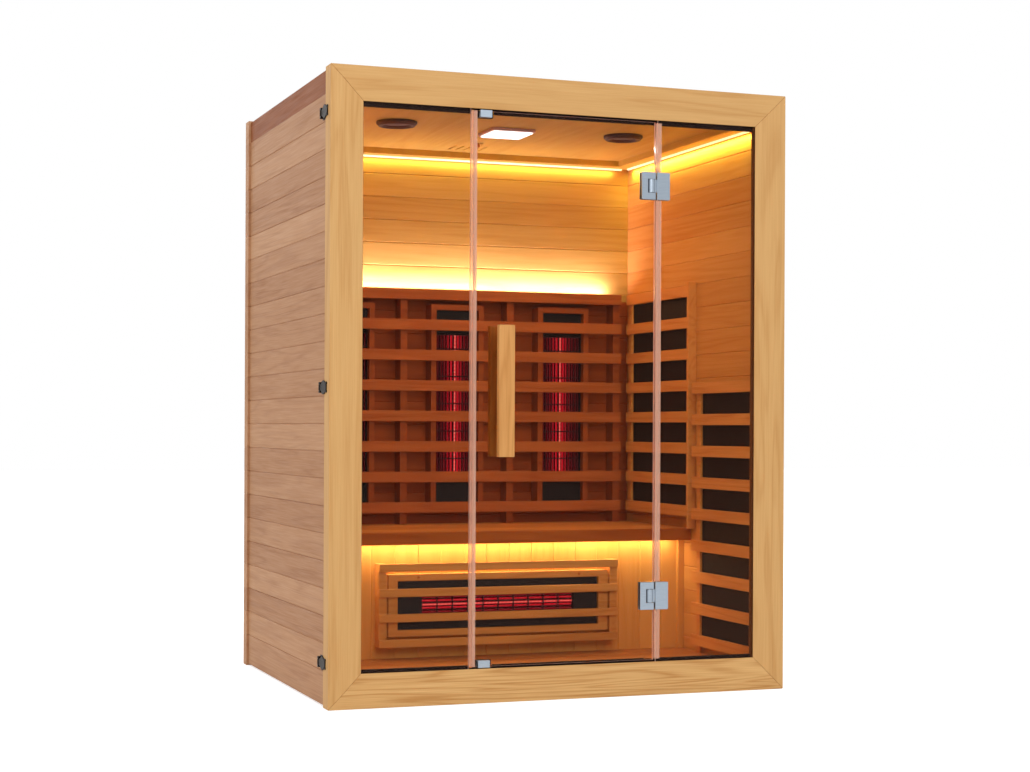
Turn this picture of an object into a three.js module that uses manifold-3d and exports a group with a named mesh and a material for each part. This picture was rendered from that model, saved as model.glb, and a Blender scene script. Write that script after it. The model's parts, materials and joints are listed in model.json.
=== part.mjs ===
// Infrared sauna cabin: a wooden cabin with a glass front, slatted heater guards and a bench.
// Millimetres, +Z up, +X to the right from the front, the glass front toward -Y.
// Depths are measured from the front face of the frame. The whole group is then centred in Y.
import * as THREE from 'three';
import { mergeVertices } from 'three/addons/utils/BufferGeometryUtils.js';
import Module from 'manifold-3d';

const wasm = await Module();
wasm.setup();

// Cabin outside
const WIDTH = 1505;
const DEPTH = 1178;
const HEIGHT = 1905;

// Clearances
const SEAT_GAP = 0.3;
const MITRE_GAP = 0.2;
const BORE_GAP = 0.3;
const RUNNING_GAP = 0.5;
const OVERLAP = 1;
const WELD = 1e-3;

// Front frame: flat outer band, slope down to the glass, lip in front of the glass
const FRAME_FLAT = 36;
const FRAME_SLOPE = 67;
const SLOPE_DEPTH = 10;
const LIP = 4;
const REBATE = 12;
const FRAME_DEPTH = 60;

// Walls, roof and floor
const WALL = 50;
const WALL_INSET = 7.5;
const ROOF = 70;
const ROOF_DROP = 6;
const SOFFIT_WIDTH = 68;
const SOFFIT_DEPTH = 21;
const FLOOR_PLATE = 5;
const FLOOR_PLATE_INSET = 8;
const FLOOR_SLAB = 60;
const WALL_BOARD = 82;
const FLOOR_BOARD = 95;
const GROOVE = 5;
const GROOVE_DEPTH = 2.5;
const LEAST_BOARD = 0.5;

// Glass front
const GLASS = 8;
const DOOR_WIDTH = 600;
const DOOR_REVEAL = 6;
const FREE_EDGE_GAP = 11;
const HINGE_EDGE_GAP = 10;
const SEAL_DEPTH = 9.4;
const SEAL_SHOW_SIDE = 3.5;
const SEAL_SHOW_BOTTOM = 10;
const SEAL_SHOW_TOP = 14;
const EDGE_SEAL_WALL = 1.2;
const EDGE_SEAL_GRIP = 9;
const EDGE_SEAL_WEB = 3;
const EDGE_SEAL_FIN = 3.5;

// Door strikes and the catches behind them
const STRIKE_FROM_EDGE = 18;
const STRIKE_WIDTH = 38;
const STRIKE_HEIGHT = 22;
const STRIKE_PLATE = 3.2;
const CATCH_WIDTH = 54;
const CATCH_HEIGHT = 36;
const CATCH_DEPTH = 13;

// Glass hinges
const HINGE_FROM_END = 309.5;
const HINGE_INSET = 12;
const HINGE_HEIGHT = 86;
const HINGE_PLATE = 5.5;
const DOOR_LEAF = 47;
const FIXED_LEAF = 44;
const LEAF_GAP = 5;
const BARREL_RADIUS = 12.5;
const BARREL_LENGTH = 41;
const PIN_RADIUS = 4;
const WEB_THICK = 14;
const WEB_REACH = 36;
const NOTCH_MARGIN = 1;

// Door handle
const HANDLE_FROM_EDGE = 91.5;
const HANDLE_WIDTH = 52;
const HANDLE_THICK = 22;
const HANDLE_LENGTH = 400;
const HANDLE_HEIGHT = 946;
const HANDLE_STANDOFF = 26;
const HANDLE_CHAMFER = 2.5;
const PEG_RADIUS = 11;
const PEG_SPREAD = 222;
const STUD_RADIUS = 4;

// Bench
const BENCH_TOP = 488;
const BENCH_DEPTH = 563;
const BENCH_BOARD = 93;
const BENCH_THICK = 26;
const APRON_HEIGHT = 41;
const APRON_THICK = 35;
const BENCH_END_GAP = 0.5;
const KICK_SETBACK = 75;
const KICK_THICK = 15;
const KICK_BOARD = 81;
const BATTEN = [22.5, 18];
const LEDGER = [30, 50];
const LEDGER_INSET = 60;

// Backrest grille
const SLATS = 8;
const SLAT = 38;
const SLAT_PITCH = 109;
const SLAT_THICK = 14;
const GRILLE_FOOT = 42;
const GRILLE_INSET = 58;
const GRILLE_STANDOFF = 64;
const POST = 26;
const POST_SPREAD = 202;
const END_POST_INSET = 2;
const SHELF_DROP = 9;
const SHELF_THICK = 12;
const HEATER_BOARD = 20;

// Back heaters
const HEATER_FROM_END = 227;
const HEATER_WIDTH = 160;
const HEATER_DEPTH = 42;
const HEATER_BELOW = 32;
const HEATER_ABOVE = 73;
const RECESS_BELOW = 111;
const RECESS_ABOVE = 88;
const RECESS_DEPTH = 24;
const RECESS_MARGIN = 3;
const WIRE = 3;
const WIRES = 5;
const RIB_PITCH = 8;
const RIB_DEPTH = 4;
const EMITTER_PLATE = 6;
const EMITTER_GAP = 1;
const TUBE_RADIUS = 6;

// Side heaters and their guards
const PANEL_THICK = 11.4;
const GUARD_STANDOFF = 20;
const GUARD_SLAT = 12;
const REAR_OVERHANG = 25;
const REAR_END_GAP = 62;
const END_BOARD = 10;
const END_BOARD_RISE = 14;
const PANEL_MARGIN = 12;
const FRONT_SLATS = 9;
const FRONT_PITCH = 108;
const FRONT_FOOT = 26;
const FRONT_GAP = 2;
const BENCH_CLEAR = 65;
const FRONT_POST_INSET = 22;

// Calf heater
const CALF_HALF = 427;
const CALF_BARS = 4;
const CALF_BAR = 26;
const CALF_BAR_THICK = 12;
const CALF_SETBACK = 20;
const CALF_FOOT = 42;
const CALF_HEAD = 64;
const CALF_POST = 27;
const CALF_BOX_HALF = 392;
const CALF_BOARD = 32;
const CALF_RAIL = 22;
const CALF_BOX_FOOT = 33;
const CALF_BOX_HEAD = 36;
const CALF_DEPTH = 28;
const CALF_RECESS_HALF = 272;
const CALF_RECESS_MARGIN = 26;
const CALF_RECESS_DEPTH = 22;
const CALF_WIRES = 9;

// Ceiling fittings
const CEILING_BOARD = 12;
const VENT_FROM_BACK = 94;
const VENT_LENGTH = 208;
const VENT_SLOTS = 5;
const VENT_SLOT = [8, 100];
const VENT_PITCH = 28;
const VENT_TRAVEL = 14;
const SLIDER_HALF = 75;
const SLIDER_THICK = 6;
const SLIDER_SIDE_GAP = 3;
const SLIDER_END_GAP = 4;
const SLOT_FROM_BACK = 20;
const KNOB_X = -5;
const KNOB_FROM_FRONT = 15;
const KNOB_STEM = 5;
const KNOB_RADIUS = 9;
const KNOB_LENGTH = 14;
const LIGHT_SIZE = [156, 160];
const LIGHT_RIM = 8;
const LIGHT_THICK = 14;
const LIGHT_CORNER = 14;
const LIGHT_TO_VENT = 191;
const SPEAKER_RADIUS = 67;
const SPEAKER_DEPTH = 15;
const SPEAKER_FROM_WALL = 294;
const SPEAKER_AHEAD = 55;

// Panel latches on the outside of the side walls
const LATCH_FROM_END = 133;
const LATCH_PIVOT = 42;
const LATCH_REACH = 32;
const LATCH_TIP = 7;
const LATCH_WIDEST = 21;
const LATCH_NECK = 8.5;
const LATCH_PLATE = 3;
const LATCH_PAD = [2, 12];
const LATCH_CLEAR = 0.3;
const LATCH_BASE = [36, 10, 19];
const LATCH_BASE_THICK = 2.5;
const LUG = [9, 16];
const LUG_HALF = 6;
const LUG_RISE = 13;
const HUB_RADIUS = 5.5;
const TRUNNION_RADIUS = 2.6;

// Segments of round forms
const FINE = 24;
const COARSE = 12;

// Planes that several pieces share
const FRAME_WIDTH = FRAME_FLAT + FRAME_SLOPE;
const FRAME_SEAT = FRAME_WIDTH - REBATE;
const WALL_OUT = WIDTH / 2 - WALL_INSET;
const WALL_IN = WALL_OUT - WALL;
const BACK_IN = DEPTH - WALL;
const INSIDE_Y = [FRAME_DEPTH + SEAT_GAP, BACK_IN - SEAT_GAP];
const INSIDE_X = WALL_IN - SEAT_GAP;
const ROOF_TOP = HEIGHT - ROOF_DROP;
const CEILING = ROOF_TOP - ROOF;
const FLOOR_TOP = FLOOR_PLATE + FLOOR_SLAB;
const GLASS_FRONT = SLOPE_DEPTH + LIP + SEAT_GAP;
const GLASS_BACK = GLASS_FRONT + GLASS;
const GLASS_MID = (GLASS_FRONT + GLASS_BACK) / 2;
const DOOR_X = [-DOOR_WIDTH / 2, DOOR_WIDTH / 2];
const DOOR_Z = [FRAME_WIDTH + DOOR_REVEAL, HEIGHT - FRAME_WIDTH - DOOR_REVEAL];
const HINGE_X = DOOR_X[1] - HINGE_INSET;
const HINGE_Z = { upper: HEIGHT - HINGE_FROM_END, lower: HINGE_FROM_END };
const HANDLE_X = DOOR_X[0] + HANDLE_FROM_EDGE;
const PEG_Z = [HANDLE_HEIGHT - PEG_SPREAD / 2, HANDLE_HEIGHT + PEG_SPREAD / 2];
const BENCH_FRONT = BACK_IN - BENCH_DEPTH;
const BENCH_UNDER = BENCH_TOP - BENCH_THICK;
const KICK_FRONT = BENCH_FRONT + KICK_SETBACK;
const GRILLE_HALF = WALL_IN - GRILLE_INSET;
const GRILLE_BACK = BACK_IN - GRILLE_STANDOFF;
const GRILLE_BOTTOM = BENCH_TOP + GRILLE_FOOT;
const GRILLE_TOP = GRILLE_BOTTOM + SLAT + SLAT_PITCH * (SLATS - 1);
const GRILLE_Y = [GRILLE_BACK - OVERLAP, BACK_IN - SEAT_GAP];
const HEATER_Z = [GRILLE_BOTTOM + HEATER_BELOW, GRILLE_TOP - HEATER_ABOVE];
const HEATER_X = { left: HEATER_FROM_END - GRILLE_HALF, centre: 0, right: GRILLE_HALF - HEATER_FROM_END };
const RECESS_Z = [HEATER_Z[0] + RECESS_BELOW, HEATER_Z[1] - RECESS_ABOVE];
const HEATER_FACE = BACK_IN - HEATER_DEPTH;
const CALF_Y = [BENCH_FRONT + CALF_SETBACK, KICK_FRONT - SEAT_GAP];
const CALF_Z = [FLOOR_TOP + CALF_FOOT, BENCH_TOP - APRON_HEIGHT - CALF_HEAD];
const CALF_BOX_Z = [CALF_Z[0] + CALF_BOX_FOOT, CALF_Z[1] - CALF_BOX_HEAD];
const CALF_HEATER_Z = [CALF_BOX_Z[0] + CALF_RAIL, CALF_BOX_Z[1] - CALF_RAIL];
const CALF_HEATER_HALF = CALF_BOX_HALF - CALF_BOARD;
const CALF_FACE = KICK_FRONT - CALF_DEPTH;
const CALF_RECESS_Z = [CALF_HEATER_Z[0] + CALF_RECESS_MARGIN, CALF_HEATER_Z[1] - CALF_RECESS_MARGIN];
const VENT_Y = [BACK_IN - VENT_FROM_BACK - VENT_LENGTH, BACK_IN - VENT_FROM_BACK];
const SLIDER_Y = [VENT_Y[0] + SLIDER_END_GAP, VENT_Y[1] - SLIDER_END_GAP];
const SLOT_Y = [VENT_Y[1] - SLOT_FROM_BACK - VENT_SLOT[1], VENT_Y[1] - SLOT_FROM_BACK];
const KNOB_Y = VENT_Y[0] + KNOB_FROM_FRONT;
const LIGHT_Y = VENT_Y[0] - LIGHT_TO_VENT - LIGHT_SIZE[1] / 2;
const PIVOT_Y = FRAME_DEPTH + LATCH_PIVOT;
const PIVOT_OUT = WALL_INSET + 1.5;

// Looks taken from the photograph
const wood = (color, roughness = 0.55) => ({ color, roughness, metalness: 0 });
const LOOKS = {
  frameWood: wood(0xd9ad74),
  wallWood: wood(0xb78a68, 0.6),
  crownWood: wood(0x9b694e, 0.6),
  floorWood: wood(0xcf9a5a),
  benchWood: wood(0xc9874a),
  slatWood: wood(0xc48147),
  kickWood: wood(0xdda55a),
  handleWood: wood(0xcfa368, 0.45),
  glass: { color: 0xf3e6dd, roughness: 0.05, metalness: 0, transparent: true, opacity: 0.25 },
  blackSeal: { color: 0x17120f, roughness: 0.7, metalness: 0 },
  clearSeal: { color: 0xe8cfc4, roughness: 0.2, metalness: 0 },
  steel: { color: 0xb9c2ca, roughness: 0.3, metalness: 1 },
  heaterBlack: { color: 0x1c1412, roughness: 0.5, metalness: 0.3 },
  emitter: { color: 0xd0122a, roughness: 0.5, metalness: 0, emissive: 0xa00010 },
  carbon: { color: 0x2b1d18, roughness: 0.75, metalness: 0 },
  light: { color: 0xffffff, roughness: 0.4, metalness: 0, emissive: 0xffffff },
  speaker: { color: 0x4a2412, roughness: 0.6, metalness: 0 },
  latch: { color: 0x3a2e28, roughness: 0.4, metalness: 0.8 },
};

// Solid helpers
const UP = new THREE.Vector3(0, 0, 1);
const RIGHT = new THREE.Vector3(1, 0, 0);
const INWARD = new THREE.Vector3(0, 1, 0);
const OUTWARD = new THREE.Vector3(0, -1, 0);

function toSolid(geometry) {
  const bare = new THREE.BufferGeometry();
  bare.setAttribute('position', geometry.getAttribute('position'));
  bare.setIndex(geometry.index);
  const welded = mergeVertices(bare, WELD);
  const corners = welded.index.array;
  const kept = [];
  for (let i = 0; i < corners.length; i += 3) {
    const triangle = [corners[i], corners[i + 1], corners[i + 2]];
    if (new Set(triangle).size === 3) kept.push(...triangle);
  }
  return new wasm.Manifold(new wasm.Mesh({
    numProp: 3,
    vertProperties: Float32Array.from(welded.getAttribute('position').array),
    triVerts: Uint32Array.from(kept),
  }));
}

function toGeometry(solid) {
  const mesh = solid.getMesh();
  const geometry = new THREE.BufferGeometry();
  geometry.setAttribute('position', new THREE.BufferAttribute(mesh.vertProperties, 3));
  geometry.setIndex(new THREE.BufferAttribute(mesh.triVerts, 1));
  geometry.computeVertexNormals();
  return geometry;
}

const join = (...solids) => wasm.Manifold.union(solids.flat());
const cut = (base, ...tools) => base.subtract(join(...tools));
const span = (a, b) => [Math.min(a, b), Math.max(a, b)];
const around = (middle, half) => [middle - half, middle + half];
const count = (n) => Array.from({ length: n }, (_, i) => i);

function box(x, y, z) {
  const geometry = new THREE.BoxGeometry(x[1] - x[0], y[1] - y[0], z[1] - z[0]);
  geometry.translate((x[0] + x[1]) / 2, (y[0] + y[1]) / 2, (z[0] + z[1]) / 2);
  return toSolid(geometry);
}

function rod(radius, centre, length, axis, segments = COARSE) {
  const geometry = new THREE.CylinderGeometry(radius, radius, length, segments);
  if (axis === 'x') geometry.rotateZ(Math.PI / 2);
  if (axis === 'z') geometry.rotateX(Math.PI / 2);
  geometry.translate(...centre);
  return toSolid(geometry);
}

function extrusion(outline, length, holes = []) {
  const shape = new THREE.Shape(outline.map(([u, v]) => new THREE.Vector2(u, v)));
  shape.holes = holes.map((hole) => new THREE.Path(hole.map(([u, v]) => new THREE.Vector2(u, v))));
  return new THREE.ExtrudeGeometry(shape, { depth: length, bevelEnabled: false });
}

// Outline in (y, z)
function prismAlongX(outline, x) {
  const geometry = extrusion(outline, x[1] - x[0]);
  geometry.applyMatrix4(new THREE.Matrix4().makeBasis(INWARD, UP, RIGHT).setPosition(x[0], 0, 0));
  return toSolid(geometry);
}

// Outline in (x, z)
function prismAlongY(outline, y, holes) {
  const geometry = extrusion(outline, y[1] - y[0], holes);
  geometry.applyMatrix4(new THREE.Matrix4().makeBasis(RIGHT, UP, OUTWARD).setPosition(0, y[1], 0));
  return toSolid(geometry);
}

// Outline in (x, y)
function prismAlongZ(outline, z) {
  return toSolid(extrusion(outline, z[1] - z[0]).translate(0, 0, z[0]));
}

const rectangle = (u, v) => [[u[0], v[0]], [u[1], v[0]], [u[1], v[1]], [u[0], v[1]]];
const swapped = (outline) => outline.map(([u, v]) => [v, u]);

// Board joints along a panel, counted from its high end, the last board no less than half a board
function boardJoints([low, high], pitch) {
  const joints = Math.floor((high - low) / pitch - LEAST_BOARD);
  return count(joints).map((i) => high - pitch * (joints - i));
}

// Section of a boarded panel with V grooves at the joints: along by across
function boardedSection(along, across, joints, faces) {
  const groove = (at, face, inward) => [
    [at - GROOVE / 2, face],
    [at, face + inward * GROOVE_DEPTH],
    [at + GROOVE / 2, face],
  ];
  const low = faces.low ? joints.flatMap((at) => groove(at, across[0], 1)) : [];
  const high = faces.high ? joints.flatMap((at) => groove(at, across[1], -1)) : [];
  return [
    [along[0], across[0]],
    ...low,
    [along[1], across[0]],
    [along[1], across[1]],
    ...high.reverse(),
    [along[0], across[1]],
  ];
}

// Box on a side wall, u measured inward from the wall's inner face
function sideBox(side, u, y, z) {
  return box(span(side * (WALL_IN - u[0]), side * (WALL_IN - u[1])), y, z);
}

const cabin = new THREE.Group();
cabin.name = 'infrared_sauna_cabin';
cabin.position.y = -DEPTH / 2;

function add(name, solid, look, position = [0, 0, 0]) {
  const mesh = new THREE.Mesh(toGeometry(solid), new THREE.MeshStandardMaterial(look));
  mesh.name = name;
  mesh.position.set(...position);
  cabin.add(mesh);
  return mesh;
}

const SIDES = { left: -1, right: 1 };

// Front frame: one section, mitred at 45 degrees at both ends
function frameMember(length) {
  const section = [
    [0, 0],
    [0, FRAME_FLAT],
    [SLOPE_DEPTH, FRAME_WIDTH],
    [SLOPE_DEPTH + LIP, FRAME_WIDTH],
    [SLOPE_DEPTH + LIP, FRAME_SEAT],
    [FRAME_DEPTH, FRAME_SEAT],
    [FRAME_DEPTH, 0],
  ];
  const geometry = extrusion(section, 1);
  geometry.applyMatrix4(new THREE.Matrix4().makeBasis(INWARD, UP, RIGHT));
  const position = geometry.getAttribute('position');
  for (const i of count(position.count)) {
    const reach = length / 2 - MITRE_GAP - position.getZ(i);
    position.setX(i, position.getX(i) < 0.5 ? -reach : reach);
  }
  return toSolid(geometry);
}

function addFrame() {
  const quarter = Math.PI / 2;
  add('frame_left_stile', frameMember(HEIGHT), LOOKS.frameWood, [-WIDTH / 2, 0, HEIGHT / 2]).rotation.y = quarter;
  add('frame_right_stile', frameMember(HEIGHT), LOOKS.frameWood, [WIDTH / 2, 0, HEIGHT / 2]).rotation.y = -quarter;
  add('frame_top_rail', frameMember(WIDTH), LOOKS.frameWood, [0, 0, HEIGHT]).rotation.y = Math.PI;
  add('frame_bottom_rail', frameMember(WIDTH), LOOKS.frameWood);
}

// Walls, floor and roof
function addShell() {
  const wallZ = [FLOOR_PLATE + SEAT_GAP, CEILING - SEAT_GAP];
  const joints = boardJoints(wallZ, WALL_BOARD);
  const bothFaces = { low: true, high: true };
  const wall = boardedSection(wallZ, around(0, WALL / 2), joints, bothFaces);
  for (const [side, sign] of Object.entries(SIDES)) {
    const middle = sign * (WALL_OUT - WALL / 2);
    add(`${side}_wall`, prismAlongY(swapped(wall), INSIDE_Y), LOOKS.wallWood, [middle, 0, 0]);
  }

  const back = boardedSection([0, HEIGHT], [BACK_IN, DEPTH], joints, bothFaces);
  const ledgerY = [BACK_IN - LEDGER[0], BACK_IN + GROOVE_DEPTH + OVERLAP];
  const ledgerZ = [BENCH_UNDER - SEAT_GAP - LEDGER[1], BENCH_UNDER - SEAT_GAP];
  const ledger = box(around(0, WALL_IN - LEDGER_INSET), ledgerY, ledgerZ);
  add('back_wall', join(prismAlongX(swapped(back), around(0, WIDTH / 2)), ledger), LOOKS.wallWood);

  const plate = box(around(0, WALL_OUT - FLOOR_PLATE_INSET), INSIDE_Y, [0, FLOOR_PLATE]);
  const slabZ = [FLOOR_PLATE - OVERLAP, FLOOR_TOP];
  const slab = boardedSection(INSIDE_Y, slabZ, boardJoints(INSIDE_Y, FLOOR_BOARD), { high: true });
  add('floor_panel', join(plate, prismAlongX(slab, around(0, INSIDE_X))), LOOKS.floorWood);

  add('roof_panel', roofPanel(), LOOKS.crownWood);
}

// Roof with the soffit round three walls, and the vent's duct and slots
function roofPanel() {
  const deck = box(around(0, WALL_OUT), INSIDE_Y, [CEILING, ROOF_TOP]);
  const inner = INSIDE_X - SOFFIT_WIDTH;
  const soffit = [
    [-INSIDE_X, INSIDE_Y[0]],
    [-inner, INSIDE_Y[0]],
    [-inner, INSIDE_Y[1] - SOFFIT_WIDTH],
    [inner, INSIDE_Y[1] - SOFFIT_WIDTH],
    [inner, INSIDE_Y[0]],
    [INSIDE_X, INSIDE_Y[0]],
    [INSIDE_X, INSIDE_Y[1]],
    [-INSIDE_X, INSIDE_Y[1]],
  ];
  const band = prismAlongZ(soffit, [CEILING - SOFFIT_DEPTH, CEILING + OVERLAP]);
  const ductX = [-SLIDER_HALF - SLIDER_SIDE_GAP, SLIDER_HALF + SLIDER_SIDE_GAP + VENT_TRAVEL];
  const duct = box(ductX, VENT_Y, [CEILING + CEILING_BOARD, ROOF_TOP + OVERLAP]);
  const throughBoard = [CEILING - OVERLAP, CEILING + CEILING_BOARD + OVERLAP];
  const stemHalf = KNOB_STEM + 2;
  const knobX = [KNOB_X - stemHalf, KNOB_X + VENT_TRAVEL + stemHalf];
  const knobSlot = box(knobX, around(KNOB_Y, stemHalf), throughBoard);
  return cut(join(deck, band), duct, knobSlot, ventSlots(throughBoard));
}

function ventSlots(z) {
  const middle = (VENT_SLOTS - 1) / 2;
  return count(VENT_SLOTS).map((i) => box(around((i - middle) * VENT_PITCH, VENT_SLOT[0] / 2), SLOT_Y, z));
}

// Fixed panes and the door, notched round the hinges
function addGlass() {
  const outer = WIDTH / 2 - FRAME_SEAT - SEAT_GAP;
  const paneZ = [FRAME_SEAT + SEAT_GAP, HEIGHT - FRAME_SEAT - SEAT_GAP];
  const glassY = [GLASS_FRONT, GLASS_BACK];
  const through = [GLASS_FRONT - OVERLAP, GLASS_BACK + OVERLAP];
  const hinges = Object.values(HINGE_Z);

  add('left_glass', box([-outer, DOOR_X[0] - FREE_EDGE_GAP], glassY, paneZ), LOOKS.glass);

  const paneEdge = DOOR_X[1] + HINGE_EDGE_GAP;
  const webX = [paneEdge - OVERLAP, HINGE_X + WEB_REACH + NOTCH_MARGIN];
  const webHalf = BARREL_LENGTH / 2 + NOTCH_MARGIN + RUNNING_GAP;
  const webNotches = hinges.map((z) => box(webX, through, around(z, webHalf)));
  add('right_glass', cut(box([paneEdge, outer], glassY, paneZ), webNotches), LOOKS.glass);

  const notchX = [HINGE_X - BARREL_RADIUS - 2 - NOTCH_MARGIN / 2, DOOR_X[1] + OVERLAP];
  const notches = hinges.map((z) => box(notchX, through, around(z, HINGE_HEIGHT / 2 + NOTCH_MARGIN)));
  const bore = STUD_RADIUS + BORE_GAP;
  const holes = PEG_Z.map((z) => rod(bore, [HANDLE_X, GLASS_MID, z], GLASS + 2 * OVERLAP, 'y', FINE));
  add('door_glass', cut(box(DOOR_X, glassY, DOOR_Z), notches, holes), LOOKS.glass);
}

// Seal ring behind the glass with the door catches at its free edge
function addSeals() {
  const near = GLASS_BACK + SEAT_GAP;
  const ringY = [near, near + SEAL_DEPTH];
  const edge = FRAME_SEAT + 2 * SEAT_GAP;
  const ringZ = [edge, HEIGHT - edge];
  const sealX = WIDTH / 2 - FRAME_WIDTH - SEAL_SHOW_SIDE;
  const sealZ = [FRAME_WIDTH + SEAL_SHOW_BOTTOM, HEIGHT - FRAME_WIDTH - SEAL_SHOW_TOP];
  const outline = rectangle(around(0, WIDTH / 2 - edge), ringZ);
  const ring = prismAlongY(outline, ringY, [rectangle(around(0, sealX), sealZ)]);

  const throughY = [ringY[0] - OVERLAP, ringY[1] + OVERLAP];
  const strikeMiddle = DOOR_X[0] + STRIKE_FROM_EDGE + STRIKE_WIDTH / 2;
  const catchX = around(strikeMiddle, CATCH_WIDTH / 2);
  const strikeNotch = [DOOR_X[0] - EDGE_SEAL_WEB - 4, catchX[1] + 3];
  const sweep = Math.hypot(HINGE_INSET, GLASS / 2) + 3;
  const sweepNotch = around(HINGE_X, sweep);
  const noseY = [near + STRIKE_PLATE + RUNNING_GAP, ringY[1] + CATCH_DEPTH];
  const bodyY = [ringY[1] - OVERLAP, ringY[1] + CATCH_DEPTH];
  const notchRise = STRIKE_PLATE + 1.3;
  const notches = [];
  const blocks = [];
  for (const end of [-1, 1]) {
    const doorEnd = end < 0 ? DOOR_Z[0] : DOOR_Z[1];
    const ringEnd = end < 0 ? ringZ[0] : ringZ[1];
    const notchZ = span(doorEnd - end * CATCH_HEIGHT, doorEnd + end * notchRise);
    notches.push(box(strikeNotch, throughY, notchZ), box(sweepNotch, throughY, notchZ));
    const inside = ringEnd - end * CATCH_HEIGHT;
    blocks.push(box(catchX, noseY, span(inside, doorEnd + end * (notchRise - RUNNING_GAP))));
    blocks.push(box(catchX, bodyY, span(inside, ringEnd)));
  }
  add('glass_seal', join(cut(ring, notches), blocks), LOOKS.blackSeal);

  const free = DOOR_X[0];
  const grip = SEAT_GAP / 2;
  const front = GLASS_FRONT - grip;
  const back = GLASS_BACK + grip;
  const fin = around(GLASS_MID, EDGE_SEAL_FIN / 2);
  const tip = free - FREE_EDGE_GAP + 2;
  const edgeSeal = [
    [free + EDGE_SEAL_GRIP, front - EDGE_SEAL_WALL],
    [free - EDGE_SEAL_WEB, front - EDGE_SEAL_WALL],
    [free - EDGE_SEAL_WEB, fin[0]],
    [tip, fin[0]],
    [tip, fin[1]],
    [free - EDGE_SEAL_WEB, fin[1]],
    [free - EDGE_SEAL_WEB, back + EDGE_SEAL_WALL],
    [free + EDGE_SEAL_GRIP, back + EDGE_SEAL_WALL],
    [free + EDGE_SEAL_GRIP, back],
    [free - grip, back],
    [free - grip, front],
    [free + EDGE_SEAL_GRIP, front],
  ];
  add('door_edge_seal', prismAlongZ(edgeSeal, DOOR_Z), LOOKS.clearSeal);
}

// U-shaped steel clips over the door's free corners
function addStrikes() {
  const x = [DOOR_X[0] + STRIKE_FROM_EDGE, DOOR_X[0] + STRIKE_FROM_EDGE + STRIKE_WIDTH];
  const inner = [GLASS_FRONT - SEAT_GAP, GLASS_BACK + SEAT_GAP];
  const outer = [inner[0] - STRIKE_PLATE, inner[1] + STRIKE_PLATE];
  for (const [name, edge, end] of [['top', DOOR_Z[1], 1], ['bottom', DOOR_Z[0], -1]]) {
    const legs = edge + end * (STRIKE_PLATE - STRIKE_HEIGHT);
    const clip = [
      [outer[0], legs],
      [inner[0], legs],
      [inner[0], edge + end * SEAT_GAP],
      [inner[1], edge + end * SEAT_GAP],
      [inner[1], legs],
      [outer[1], legs],
      [outer[1], edge + end * STRIKE_PLATE],
      [outer[0], edge + end * STRIKE_PLATE],
    ];
    add(`strike_${name}`, prismAlongX(clip, x), LOOKS.steel);
  }
}

// Glass hinges, drawn about their own pin
function addHinges() {
  const seat = GLASS / 2 + SEAT_GAP;
  const plates = [[-seat - HINGE_PLATE, -seat], [seat, seat + HINGE_PLATE]];
  const full = around(0, HINGE_HEIGHT / 2);
  const barrelHalf = BARREL_LENGTH / 2;
  const bore = rod(PIN_RADIUS + BORE_GAP, [0, 0, 0], HINGE_HEIGHT + 2 * OVERLAP, 'z', FINE);

  const leafX = [HINGE_INSET - DOOR_LEAF, HINGE_INSET];
  const knuckleX = [-BARREL_RADIUS - 1.5, HINGE_INSET];
  const across = [plates[0][0], plates[1][1]];
  const leaf = plates.map((y) => box(leafX, y, full));
  const knuckles = box(knuckleX, across, full);
  const roomX = [-BARREL_RADIUS - 2, HINGE_INSET + OVERLAP];
  const roomY = [across[0] - OVERLAP, across[1] + OVERLAP];
  const room = box(roomX, roomY, around(0, barrelHalf + 2 * RUNNING_GAP));
  const doorLeaf = cut(join(leaf, knuckles), room, bore);

  const fixedX = [HINGE_INSET + LEAF_GAP, HINGE_INSET + LEAF_GAP + FIXED_LEAF];
  const fixed = plates.map((y) => box(fixedX, y, full));
  const web = box([0, WEB_REACH], around(0, WEB_THICK / 2), around(0, barrelHalf));
  const barrel = rod(BARREL_RADIUS, [0, 0, 0], BARREL_LENGTH, 'z', FINE);
  const fixedLeaf = cut(join(fixed, web, barrel), bore);

  const pin = rod(PIN_RADIUS, [0, 0, 0], HINGE_HEIGHT - 2, 'z', FINE);
  for (const [level, z] of Object.entries(HINGE_Z)) {
    const place = [HINGE_X, GLASS_MID, z];
    add(`hinge_${level}_door_leaf`, doorLeaf, LOOKS.steel, place);
    add(`hinge_${level}_fixed_leaf`, fixedLeaf, LOOKS.steel, place);
    add(`hinge_${level}_pin`, pin, LOOKS.steel, place);
  }
}

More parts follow.
